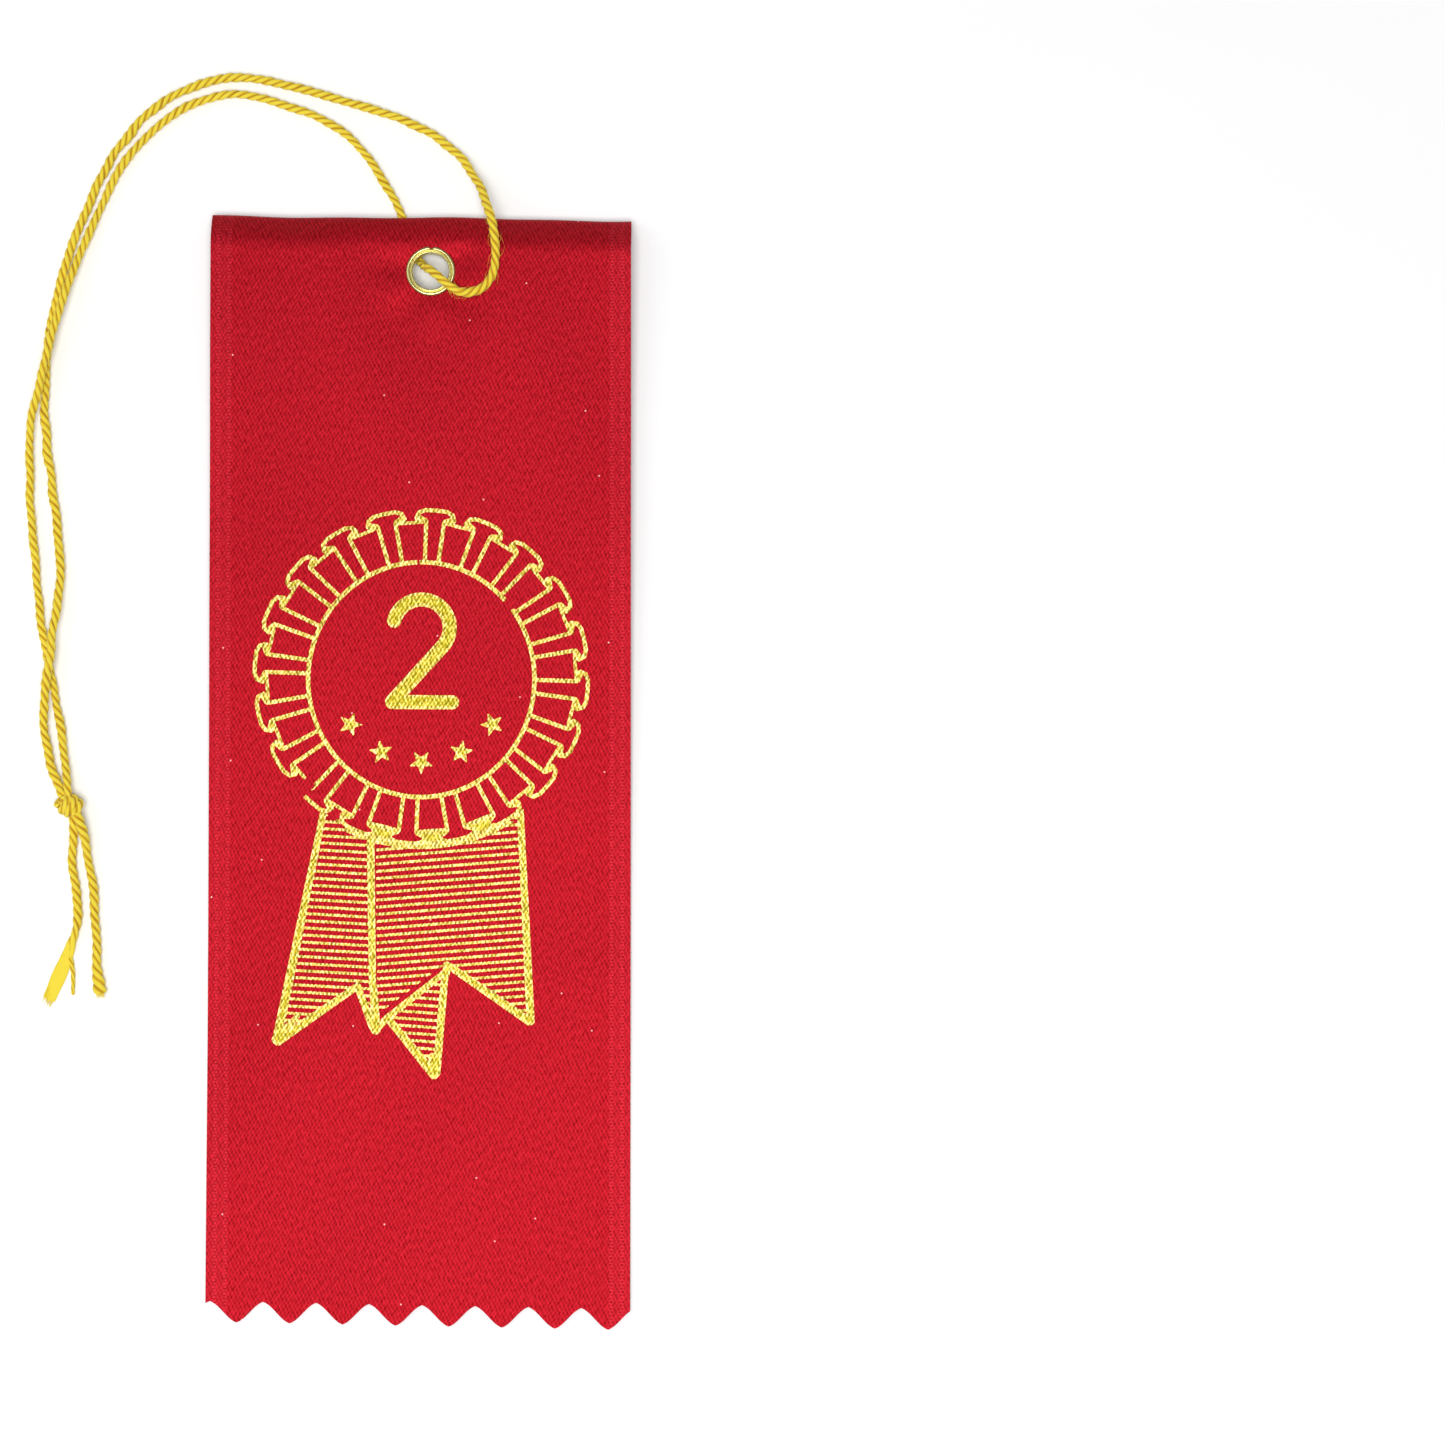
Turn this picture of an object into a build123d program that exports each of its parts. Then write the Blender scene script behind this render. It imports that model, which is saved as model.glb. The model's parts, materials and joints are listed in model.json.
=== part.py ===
from build123d import *
from math import atan, cos, pi, radians, sin, tan
import os

# Award ribbon: a strip of satin ribbon folded over the top of a stiff writing card, clamped to it
# by one brass eyelet, with a knotted hanging string through the eyelet and a foil-stamped face.
# It lies on its back: +Z is up out of the printed face, +Y points to the folded top edge, and the
# origin is under the middle of the ribbon on the surface that it rests on. Millimetres.

# --- Driving dimensions ------------------------------------------------------------------------
ribbon_width = 50.8          # 2 inch satin ribbon
ribbon_length = 133.6        # folded top edge to the points of the bottom teeth
fabric = 0.25                # thickness of the woven satin
tooth_pitch = 6.35           # pinking shears with 1/4 inch teeth
tooth_depth = 2.6
front_first_tooth = -21.7    # x of the first tooth of the bottom edge
flap_first_tooth = -22.6     # x of the first tooth of the turned-over end
flap_length = 13.3           # folded top edge to the points of the flap's teeth
fold_height = 2.4            # the soft roll of the fold, outside
fold_depth = 3.0             # length of the roll, from the top edge to where the layers lie flat again
fold_shoulder = 1.3          # length of its full height
flat_bend = 1.5              # radii along the roll: where it leaves the flat layers,
shoulder_bend = 0.5          # at its shoulders,
crown_bend = 1.0             # and round its outer edge

card_width = 44.45           # 1 3/4 inch card
card_thickness = 0.3
card_foot_y = -11.6          # lower edge of the card, which rests on the table
card_head_y = 65.6           # upper edge of the card, inside the fold
air = 0.05                   # slack between card and fabric
step_start = 0.5             # the ribbon comes down to the table from this far beyond the card's foot
step_end = 4.5               # to this far beyond it
step_radius = 12.0

string_diameter = 1.1
run_share = 0.45             # how much of its shorter run each bend's arc takes

eyelet_x = 1.2
eyelet_y = 60.2
hole_radius = 2.2
barrel_wall = 0.25
flange_radius = 3.0
flange_thickness = 0.3
roll_radius = 3.45
roll_height = 0.7            # the clinched roll on the back
string_slack = 0.1           # between the roll and the strand of string that passes under it
hole_slack = 0.05
cut_reach = 3.0              # half the depth of a cut that goes right through

crease_y = 52.0              # card and ribbon bend together here, just below the flap's teeth
lift_y = 46.0                # the printed panel bends away from the card here
crease_gap = 0.6             # between the solids on the two sides of a crease

foil = 0.04
foil_seat = 0.01
stamp_x = 0.2                # centre of the stamped rosette
stamp_y = 10.9
stamp_reach = 6.0            # higher than any part of the panel
pleats = 20
pleat_arch = 2.77            # radius of each pleat's round outer end, which laps the next one's
ring_radius = 13.9
rim_radius = 20.2
foil_line = 0.57
star_radius = 1.5
star_waist = 0.42            # inner corners of a star, as a share of its radius
star_arc = 10.3              # the stars stand on an arc under the numeral
star_count = 5
star_spread = 112
numeral_rise = 2.9
numeral_stroke = 1.7
numeral_bowl = 3.4           # middle radius of the numeral's round top
numeral_bowl_y = 3.0
numeral_foot = [(-3.7, -6.0), (3.9, -6.0)]
hatch_pitch = 0.86
hatch_line = 0.45
hatch_count = 40
hatch_middle_y = -21.0

# --- Heights that follow from them -------------------------------------------------------------
top_y = ribbon_length / 2
bottom_y = -ribbon_length / 2
eyelet_under = string_diameter + string_slack + roll_height
card_slope = (eyelet_under + fabric + air) / (eyelet_y - card_foot_y)
slope_angle = atan(card_slope)


def card_under(y):
    """Height of the card's under side."""
    return (y - card_foot_y) * card_slope


def front_middle(y):
    """Height of the middle of the front fabric where it lies on the card."""
    return card_under(y) + card_thickness + air + fabric / 2


def flap_middle(y):
    """Height of the middle of the flap's fabric under the card."""
    return card_under(y) - air - fabric / 2


def teeth(first_tooth, tip_y):
    """Corners of a pinked edge from beyond the left side to beyond the right side, teeth down."""
    corners = []
    for step in range(-2, 19):
        y = tip_y if step % 2 == 0 else tip_y + tooth_depth
        corners.append((first_tooth + step * tooth_pitch / 2, y))
    return corners


def off_cut(first_tooth, tip_y, below_y):
    """Corners of the waste that the shears cut off below a pinked edge."""
    edge = teeth(first_tooth, tip_y)
    return edge + [(edge[-1][0], below_y), (edge[0][0], below_y)]


def bend_radii(points):
    """Each corner's arc: a fixed share of its shorter run over the tangent of half its turn."""
    radii = []
    for before, corner, after in zip(points, points[1:], points[2:]):
        run_in = Vector(*corner) - Vector(*before)
        run_out = Vector(*after) - Vector(*corner)
        turn = radians(run_in.get_angle(run_out))
        radii.append(run_share * min(run_in.length, run_out.length) / tan(turn / 2))
    return radii


card_normal = (0, -sin(slope_angle), cos(slope_angle))
down_card = (0, -cos(slope_angle), -sin(slope_angle))
card_plane = Plane(origin=(0, card_foot_y, 0), x_dir=(1, 0, 0), z_dir=card_normal)
eyelet_plane = Plane(origin=(eyelet_x, eyelet_y, eyelet_under), x_dir=(1, 0, 0), z_dir=card_normal)
eyelet_section = Plane(origin=eyelet_plane.origin, x_dir=(1, 0, 0), z_dir=down_card)
clearance_radius = hole_radius + barrel_wall + hole_slack
crease_upper = crease_y + crease_gap / 2
crease_lower = crease_y - crease_gap / 2
lift_upper = lift_y + crease_gap / 2
lift_lower = lift_y - crease_gap / 2

# --- Ribbon, upper part: front strip, rolled fold and flap -------------------------------------
loop_y = top_y - fabric / 2
loop_middle = (front_middle(loop_y) + flap_middle(loop_y)) / 2
loop_top = loop_middle + (fold_height - fabric) / 2
loop_bottom = loop_middle - (fold_height - fabric) / 2
pinch_y = top_y - fold_depth
shoulder_y = top_y - fold_shoulder
flap_end_y = top_y - flap_length
with BuildPart() as ribbon_head:
    with BuildSketch(Plane.YZ):
        with BuildLine():
            FilletPolyline(
                (crease_upper, front_middle(crease_upper)),
                (pinch_y, front_middle(pinch_y)),
                (shoulder_y, loop_top),
                (loop_y, loop_top),
                (loop_y, loop_bottom),
                (shoulder_y, loop_bottom),
                (pinch_y, flap_middle(pinch_y)),
                (flap_end_y, flap_middle(flap_end_y)),
                radius=[flat_bend, shoulder_bend, crown_bend, crown_bend, shoulder_bend, flat_bend],
            )
        trace(line_width=fabric)
    extrude(amount=ribbon_width / 2, both=True)
    with BuildSketch(Plane.XY):
        with BuildLine():
            Polyline(off_cut(flap_first_tooth, flap_end_y, crease_y), close=True)
        make_face()
    extrude(amount=card_under(flap_end_y + tooth_depth) + card_thickness / 2, mode=Mode.SUBTRACT)
    with BuildSketch(eyelet_plane):
        Circle(clearance_radius)
    extrude(amount=cut_reach, both=True, mode=Mode.SUBTRACT)
ribbon_head.part.label = "ribbon_head"
export_step(ribbon_head.part, "parts/ribbon_head.step")

# --- Ribbon, short neck between the two creases ---------------------------------------------------
with BuildPart() as ribbon_neck:
    with BuildSketch(Plane.YZ):
        with BuildLine():
            Line((crease_lower, front_middle(crease_lower)), (lift_upper, front_middle(lift_upper)))
        trace(line_width=fabric)
    extrude(amount=ribbon_width / 2, both=True)
ribbon_neck.part.label = "ribbon_neck"
export_step(ribbon_neck.part, "parts/ribbon_neck.step")

# --- Ribbon, lower part: the printed panel, over the card and then down on the table ------------
step_top_y = card_foot_y - step_start
step_foot_y = card_foot_y - step_end
with BuildPart() as ribbon_tail:
    with BuildSketch(Plane.YZ):
        with BuildLine():
            FilletPolyline(
                (lift_lower, front_middle(lift_lower)),
                (step_top_y, front_middle(step_top_y)),
                (step_foot_y, fabric / 2),
                (bottom_y, fabric / 2),
                radius=[step_radius, step_radius],
            )
        trace(line_width=fabric)
    extrude(amount=ribbon_width / 2, both=True)
    with BuildSketch(Plane.XY):
        with BuildLine():
            Polyline(off_cut(front_first_tooth, bottom_y, bottom_y - tooth_depth), close=True)
        make_face()
    extrude(amount=cut_reach, both=True, mode=Mode.SUBTRACT)
ribbon_tail.part.label = "ribbon_tail"
export_step(ribbon_tail.part, "parts/ribbon_tail.step")


# --- Writing card, in its clamped upper part and its long free leaf ------------------------------
def along_card(y):
    """Distance up the sloping card at a place y."""
    return (y - card_foot_y) / cos(slope_angle)


with BuildPart() as card_top:
    with BuildSketch(card_plane):
        with Locations((0, along_card((card_head_y + crease_upper) / 2))):
            Rectangle(card_width, along_card(card_head_y) - along_card(crease_upper))
    extrude(amount=card_thickness)
    with BuildSketch(eyelet_plane):
        Circle(clearance_radius)
    extrude(amount=cut_reach, both=True, mode=Mode.SUBTRACT)
card_top.part.label = "card_top"
export_step(card_top.part, "parts/card_top.step")

with BuildPart() as card_leaf:
    with BuildSketch(card_plane):
        with Locations((0, along_card(crease_lower) / 2)):
            Rectangle(card_width, along_card(crease_lower))
    extrude(amount=card_thickness)
card_leaf.part.label = "card_leaf"
export_step(card_leaf.part, "parts/card_leaf.step")

# --- Eyelet: narrow front flange, barrel, and the broad roll clinched over the flap ---------------
clamped = fabric + air + card_thickness + air + fabric
barrel_radius = hole_radius + barrel_wall
seat = 0.02
flange_bevel = flange_thickness * 0.4
roll_lip = roll_height * 0.2
roll_edge = roll_radius - 0.1
with BuildPart() as eyelet:
    with BuildSketch(eyelet_section):
        with BuildLine():
            Polyline(
                (hole_radius, -roll_lip),
                (hole_radius, clamped + flange_thickness - flange_bevel),
                (hole_radius + flange_bevel, clamped + flange_thickness),
                (flange_radius - flange_bevel, clamped + flange_thickness),
                (flange_radius, clamped + flange_thickness - flange_bevel),
                (flange_radius, clamped + seat),
                (barrel_radius, clamped + seat),
                (barrel_radius, -seat),
                (roll_edge, -seat),
            )
            ThreePointArc(
                (roll_edge, -seat),
                ((hole_radius + roll_edge) / 2, -roll_height),
                (hole_radius, -roll_lip),
            )
        make_face()
    revolve(axis=Axis(eyelet_plane.origin, eyelet_plane.z_dir))
eyelet.part.label = "eyelet"
export_step(eyelet.part, "parts/eyelet.step")

# --- Hanging string: one length of yarn through the eyelet, its two ends tied in one knot ---------
floor = string_diameter / 2 + 0.01
hand_over = (0.6, 60.7, 2.6)
knot_centre = (-42.1, -4.3, 1.3)
knot_lean = (1, -0.5, 0)
knot_length = 3.7
knot_thickness = 2.5
string_routes = {
    "string_front": [
        hand_over, (1.5, 60.0, 3.7), (3.3, 58.4, 3.85), (5.3, 57.3, 3.5), (7.5, 57.8, 3.45),
        (8.8, 59.7, 3.5), (9.2, 62.2, 3.8), (9.0, 64.6, 4.3), (8.4, 67.0, 4.2), (7.2, 70.4, 2.4),
        (4.8, 74.6, 0.7), (0.4, 78.1, floor), (-6.9, 80.8, floor), (-14.6, 82.9, floor),
        (-22.0, 84.8, floor), (-28.4, 83.4, floor), (-33.4, 80.3, floor), (-37.4, 75.6, floor),
        (-40.4, 69.4, floor), (-42.6, 64.0, floor), (-44.3, 58.0, floor), (-45.4, 52.4, floor),
        (-45.7, 47.0, floor), (-45.7, 41.4, floor), (-44.9, 35.4, floor), (-43.9, 29.0, floor),
        (-43.5, 22.4, 0.8), (-44.2, 16.9, 1.7), (-44.9, 11.2, 1.85), (-45.5, 6.0, 1.0),
        (-44.8, 1.0, floor), (-42.9, -3.4, 1.1),
    ],
    "string_back": [
        hand_over, (-0.1, 61.2, floor), (-1.2, 64.3, floor), (-2.7, 67.6, floor),
        (-4.7, 71.8, floor), (-8.0, 76.4, floor), (-12.6, 79.6, floor), (-18.2, 81.5, floor),
        (-23.6, 82.7, floor), (-29.0, 80.9, floor), (-33.6, 77.5, floor), (-37.0, 73.1, floor),
        (-39.6, 67.6, floor), (-41.6, 62.4, 1.0), (-43.4, 57.4, 1.8), (-44.9, 51.9, 1.9),
        (-46.3, 46.2, 1.9), (-47.5, 40.8, 1.0), (-47.5, 34.4, floor), (-46.9, 27.6, floor),
        (-46.4, 21.8, floor), (-45.7, 16.6, floor), (-44.4, 10.4, floor), (-43.3, 4.6, floor),
        (-42.6, 0.2, 0.9), (-42.2, -3.3, 1.6),
    ],
    "string_tail_left": [
        (-41.7, -5.3, 0.9), (-41.6, -8.2, floor), (-42.0, -11.4, floor), (-41.2, -14.6, floor),
        (-41.0, -18.0, floor), (-42.0, -21.4, floor), (-43.2, -24.6, floor), (-44.6, -27.7, floor),
    ],
    "string_tail_right": [
        (-41.2, -5.0, 1.7), (-40.3, -7.8, 1.3), (-39.8, -11.0, 0.6), (-39.2, -14.4, floor),
        (-39.1, -18.2, floor), (-38.7, -22.0, floor), (-38.6, -25.0, 0.6), (-38.3, -27.0, 0.6),
    ],
}
for name, route in string_routes.items():
    radii = bend_radii(route)
    with BuildPart() as strand:
        with BuildLine():
            path = FilletPolyline(*route, radius=radii)
        with BuildSketch(Plane(origin=path @ 0, z_dir=path % 0)):
            Circle(string_diameter / 2)
        sweep(path=path)
    expected = pi * string_diameter**2 / 4 * path.length
    ratio = strand.part.volume / expected
    print(name, "length", round(path.length, 1), "volume ratio", round(ratio, 4))
    print("   radii", [round(radius, 1) for radius in radii])
    strand.part.label = name
    export_step(strand.part, f"parts/{name}.step")

with BuildPart() as string_knot:
    with BuildSketch(Plane(origin=knot_centre, x_dir=knot_lean, z_dir=(0, 0, 1))):
        Ellipse(knot_length / 2, knot_thickness / 2)
        split(bisect_by=Plane.XZ, keep=Keep.TOP)
    revolve(axis=Axis(knot_centre, knot_lean))
string_knot.part.label = "string_knot"
export_step(string_knot.part, "parts/string_knot.step")

# --- Hot-stamped foil: a thin skin on the panel, cut to each printed shape -----------------------
foil_middle = fabric / 2 + foil / 2 + foil_seat
stamp_plane = Plane(origin=(stamp_x, stamp_y, 0))
with BuildSketch(Plane.YZ) as foil_skin:
    with BuildLine():
        FilletPolyline(
            (lift_lower, front_middle(lift_lower) + foil_middle),
            (step_top_y, front_middle(step_top_y) + foil_middle),
            (step_foot_y, fabric / 2 + foil_middle),
            (bottom_y + tooth_depth, fabric / 2 + foil_middle),
            radius=[step_radius - foil_middle, step_radius + foil_middle],
        )
    trace(line_width=foil)

arch_centres = rim_radius - pleat_arch
with BuildPart() as foil_rosette:
    extrude(foil_skin.sketch, amount=ribbon_width / 2, both=True)
    with BuildSketch(stamp_plane):
        Circle(arch_centres)
        with PolarLocations(arch_centres, pleats):
            Circle(pleat_arch)
        Circle(arch_centres - foil_line, mode=Mode.SUBTRACT)
        with PolarLocations(arch_centres, pleats):
            Circle(pleat_arch - foil_line, mode=Mode.SUBTRACT)
        with PolarLocations((ring_radius + arch_centres) / 2, pleats, start_angle=180 / pleats):
            Rectangle(arch_centres - ring_radius + 2 * foil_line, foil_line)
        Circle(ring_radius + foil_line / 2)
        Circle(ring_radius - foil_line / 2, mode=Mode.SUBTRACT)
    extrude(amount=stamp_reach, mode=Mode.INTERSECT)
foil_rosette.part.label = "foil_rosette"
export_step(foil_rosette.part, "parts/foil_rosette.step")

with BuildPart() as foil_numeral:
    extrude(foil_skin.sketch, amount=ribbon_width / 2, both=True)
    with BuildSketch(Plane(origin=(stamp_x, stamp_y + numeral_rise, 0))):
        with BuildLine():
            bowl = CenterArc((0, numeral_bowl_y), numeral_bowl, 165, -205)
            Polyline(bowl @ 1, *numeral_foot)
        trace(line_width=numeral_stroke)
    extrude(amount=stamp_reach, mode=Mode.INTERSECT)
foil_numeral.part.label = "foil_numeral"
export_step(foil_numeral.part, "parts/foil_numeral.step")

with BuildSketch() as star:
    with BuildLine():
        points = []
        for corner in range(10):
            reach = star_radius if corner % 2 == 0 else star_radius * star_waist
            points.append((reach * cos(radians(36 * corner)), reach * sin(radians(36 * corner))))
        Polyline(*points, close=True)
    make_face()
with BuildPart() as foil_stars:
    extrude(foil_skin.sketch, amount=ribbon_width / 2, both=True)
    with BuildSketch(stamp_plane):
        with PolarLocations(star_arc, star_count, -90 - star_spread / 2, star_spread, endpoint=True):
            add(star.sketch)
    extrude(amount=stamp_reach, mode=Mode.INTERSECT)
foil_stars.part.label = "foil_stars"
export_step(foil_stars.part, "parts/foil_stars.step")

streamers = {
    "foil_streamer_left": [(-11.8, -5.0), (-17.4, -33.4), (-7.6, -26.2), (-5.4, -31.8), (-5.9, -8.6)],
    "foil_streamer_right": [
        (-4.9, -8.6), (-4.0, -30.6), (2.2, -37.4), (5.6, -24.6), (13.9, -31.0), (12.3, -5.0),
    ],
}
for name, outline in streamers.items():
    with BuildPart() as streamer:
        extrude(foil_skin.sketch, amount=ribbon_width / 2, both=True)
        with BuildSketch(Plane.XY):
            with GridLocations(ribbon_width, hatch_pitch, 1, hatch_count):
                with Locations((0, hatch_middle_y)):
                    Rectangle(ribbon_width, hatch_line)
            with BuildLine():
                Polyline(*outline, close=True)
            make_face(mode=Mode.INTERSECT)
            with Locations((stamp_x, stamp_y)):
                Circle(rim_radius + foil_line, mode=Mode.SUBTRACT)
        extrude(amount=stamp_reach, mode=Mode.INTERSECT)
    streamer.part.label = name
    export_step(streamer.part, f"parts/{name}.step")
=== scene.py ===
import bpy
import json
import math
import numpy as np
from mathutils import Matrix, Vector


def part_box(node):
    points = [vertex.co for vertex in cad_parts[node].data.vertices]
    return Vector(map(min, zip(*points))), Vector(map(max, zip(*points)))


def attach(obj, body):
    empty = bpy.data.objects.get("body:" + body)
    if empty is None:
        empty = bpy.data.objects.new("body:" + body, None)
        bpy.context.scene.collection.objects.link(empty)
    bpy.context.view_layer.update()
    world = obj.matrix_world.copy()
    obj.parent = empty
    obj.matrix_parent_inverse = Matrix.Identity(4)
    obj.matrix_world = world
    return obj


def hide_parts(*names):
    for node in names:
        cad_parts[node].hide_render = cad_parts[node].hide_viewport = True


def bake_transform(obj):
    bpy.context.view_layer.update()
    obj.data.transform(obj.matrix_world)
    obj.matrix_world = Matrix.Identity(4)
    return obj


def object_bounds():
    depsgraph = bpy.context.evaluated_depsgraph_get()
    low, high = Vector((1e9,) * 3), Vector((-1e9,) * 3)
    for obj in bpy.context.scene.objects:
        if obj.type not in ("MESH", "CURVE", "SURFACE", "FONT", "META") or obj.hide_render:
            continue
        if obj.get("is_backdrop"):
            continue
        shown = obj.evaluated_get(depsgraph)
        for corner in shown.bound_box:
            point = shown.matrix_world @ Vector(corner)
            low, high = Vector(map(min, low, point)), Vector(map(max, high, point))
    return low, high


# The award ribbon lies on its back on a pale table, with its hanging string looped to the left of it.
# Shapes are worked out in millimetres and made in metres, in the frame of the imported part.
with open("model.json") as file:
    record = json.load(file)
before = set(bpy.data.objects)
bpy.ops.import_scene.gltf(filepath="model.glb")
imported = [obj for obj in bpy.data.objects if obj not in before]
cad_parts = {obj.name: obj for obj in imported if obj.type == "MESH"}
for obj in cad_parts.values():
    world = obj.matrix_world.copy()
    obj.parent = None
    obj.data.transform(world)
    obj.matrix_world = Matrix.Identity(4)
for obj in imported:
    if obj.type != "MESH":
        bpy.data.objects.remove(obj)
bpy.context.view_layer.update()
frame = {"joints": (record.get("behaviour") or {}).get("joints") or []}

# --- Camera --------------------------------------------------------------------------------------
# A long lens looks down on the ribbon. It leans three degrees towards the toothed foot, which makes
# the foot look a little wider than the folded head.
mm = 0.001
view_centre = np.array((36.45, 5.74, 0.0)) * mm
view_width = 174.56 * mm
lens_length = 85.0
lens_sensor = 36.0
camera_lean = math.radians(3.0)
camera_distance = view_width * lens_length / lens_sensor
camera_rise = np.array((0.0, -math.sin(camera_lean), math.cos(camera_lean)))
camera = bpy.data.objects.new("camera", bpy.data.cameras.new("camera"))
camera.data.lens = lens_length
camera.data.sensor_width = lens_sensor
camera.location = view_centre + camera_distance * camera_rise
camera.rotation_euler = (camera_lean, 0.0, 0.0)
bpy.context.scene.collection.objects.link(camera)
bpy.context.scene.camera = camera

# --- Ribbon: how its shell is made -----------------------------------------------------------------
# One strip of 2 inch acetate satin ribbon with woven selvedges, cut with pinking shears at both ends
# and folded over the head of the card. It lies on the card and then on the table.
fabric = 0.25
ribbon_half = 25.4
foot_y = -66.8
head_y = 66.8
meet_y = 50.0                # where the folded head and the panel meet, between the creases
tooth_pitch = 6.35
tooth_depth = 2.5
tooth_columns = 20           # columns of cloth from one tooth to the next
tooth_rounding = 0.6         # share of a cosine in the zigzag
card_thickness = 0.3
air_gap = 0.05               # between the fabric and each side of the card
hole_radius = 2.5            # of the hole that the eyelet fills in fabric and card
creases = {joint["name"]: np.array(joint["pos_m"]) / mm for joint in frame["joints"]}
crease_step = creases["fold_up"] - creases["panel_lift"]
card_rise = crease_step[2] / crease_step[1]
eyelet_x, eyelet_y = np.array(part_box("eyelet")).mean(axis=0)[:2] / mm
card_foot_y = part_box("card_leaf")[0][1] / mm


def make_piece(name, blocks, materials, finish=None):
    """A smooth-shaded mesh at the origin, joined from blocks of (vertices in mm, faces, places on the
    pattern in mm for each face's corners). finish gives each face's material by its number."""
    vertices, faces, pattern = [], [], []
    placed = 0
    for points, corner_sets, place_sets in blocks:
        vertices.append(points.reshape(-1, 3))
        for corners, places in zip(corner_sets, place_sets):
            faces.extend((corners + placed).tolist())
            pattern.append(places.reshape(-1, 2))
        placed += len(vertices[-1])
    mesh = bpy.data.meshes.new(name)
    mesh.from_pydata((np.concatenate(vertices) * mm).tolist(), [], faces)
    layer = mesh.uv_layers.new(name="pattern")
    layer.data.foreach_set("uv", np.concatenate(pattern).astype(np.float32).ravel())
    for material in materials:
        mesh.materials.append(material)
    if finish is not None:
        mesh.polygons.foreach_set("material_index", finish.astype(np.int32))
    mesh.shade_smooth()
    mesh.set_sharp_from_angle(angle=math.radians(50))
    piece = bpy.data.objects.new(name, mesh)
    bpy.context.scene.collection.objects.link(piece)
    return piece


def unit(vectors):
    """Each vector over its own length."""
    return vectors / np.maximum(np.linalg.norm(vectors, axis=-1, keepdims=True), 1e-9)


def ease(value, start, end):
    """0 up to start and 1 from end, and between them 3t squared less 2t cubed."""
    t = np.clip((value - start) / (end - start), 0.0, 1.0)
    return t * t * (3 - 2 * t)


def evenly(points, step):
    """The line again at even steps, and the length run to each: coordinates interpolated over length."""
    run = np.concatenate(([0.0], np.cumsum(np.linalg.norm(np.diff(points, axis=0), axis=1))))
    stations = np.linspace(0.0, run[-1], max(3, round(run[-1] / step) + 1))
    return np.column_stack([np.interp(stations, run, axis) for axis in points.T]), stations


def shell(middle, pattern, thickness, keep=None):
    """A block for a sheet: its middle surface moved half the thickness out and in along its own normals,
    with a wall along each edge that only one cell has. Also each face's side: 0 out, 1 in and 2 wall."""
    rows, columns = middle.shape[:2]
    normal = unit(np.cross(np.gradient(middle, axis=1), np.gradient(middle, axis=0)))
    points = np.concatenate(((middle + normal * thickness / 2).reshape(-1, 3),
                             (middle - normal * thickness / 2).reshape(-1, 3)))
    number = np.arange(rows * columns).reshape(rows, columns)
    cells = np.stack((number[:-1, :-1], number[:-1, 1:], number[1:, 1:], number[1:, :-1]), axis=-1)
    cells = cells.reshape(-1, 4) if keep is None else cells[keep]
    edges = np.stack((cells, np.roll(cells, -1, axis=1)), axis=-1).reshape(-1, 2)
    key = edges.min(axis=1) * rows * columns + edges.max(axis=1)
    first, count = np.unique(key, return_index=True, return_counts=True)[1:]
    a, b = edges[first[count == 1]].T
    under = rows * columns
    faces = np.concatenate((cells, cells[:, ::-1] + under, np.stack((b, a, a + under, b + under), axis=-1)))
    sides = np.repeat((0, 1, 2), (len(cells), len(cells), len(a)))
    places = np.concatenate((pattern.reshape(-1, 2), pattern.reshape(-1, 2)))[faces]
    used, faces = np.unique(faces, return_inverse=True)
    return (points[used], (faces.reshape(-1, 4),), (places,)), sides


def teeth(x, first_tooth):
    """How far a pinked edge stands back from its teeth's tips: a zigzag, rounded by a share of a cosine."""
    phase = (x - first_tooth) / tooth_pitch
    from_tip = np.abs(phase - np.round(phase)) * 2
    zigzag = (1 - tooth_rounding) * (1 - 2 * from_tip)
    return tooth_depth * (1 - tooth_rounding * np.cos(np.pi * from_tip) - zigzag) / 2


def cloth_columns(first_tooth):
    """Places across the ribbon: even steps that fall on the tip and valley of every tooth, and both edges."""
    step = tooth_pitch / tooth_columns
    across = math.ceil(2 * ribbon_half / step)
    inner = first_tooth + step * np.arange(-across, across)
    inner = inner[np.abs(inner) < ribbon_half - 0.3 * step]
    return np.concatenate(([-ribbon_half], inner, [ribbon_half]))


def front_middle(y):
    """Height of the fabric's middle where it lies flat on the sloping card."""
    return creases["fold_up"][2] + (y - creases["fold_up"][1]) * card_rise


def from_eyelet(x, y):
    """Distance and direction from the eyelet's middle."""
    return np.hypot(x - eyelet_x, y - eyelet_y), np.arctan2(y - eyelet_y, x - eyelet_x)


def punched(x, y):
    """The grid with its points inside the eyelet's hole moved straight out to the hole's edge, and the
    cells that stay: those with a corner outside the hole."""
    near, angle = from_eyelet(x, y)
    close = near < hole_radius
    keep = ~(close[:-1, :-1] & close[:-1, 1:] & close[1:, 1:] & close[1:, :-1])
    x = np.where(close, eyelet_x + hole_radius * np.cos(angle), x)
    y = np.where(close, eyelet_y + hole_radius * np.sin(angle), y)
    return x, y, keep


def front_lift(x, y):
    """How far the face stands off the card: long shallow waves, none at the eyelet, and puckers round it."""
    near, angle = from_eyelet(x, y)
    waves = 0.20 * (1 + np.sin(2 * np.pi * (x / 21 + y / 90) + 1.1)) * ease(y, 30, 60)
    waves = waves + 0.05 * (2 + np.sin(2 * np.pi * (x / 37 - y / 52)) + np.sin(2 * np.pi * (x / 60 + y / 33)))
    puckers = 0.11 * (1 + np.cos(5 * angle + 0.9)) * np.exp(-((near - 5.0) / 2.4) ** 2)
    return waves * (1 - np.exp(-((near / 7.0) ** 4))) + puckers


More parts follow.
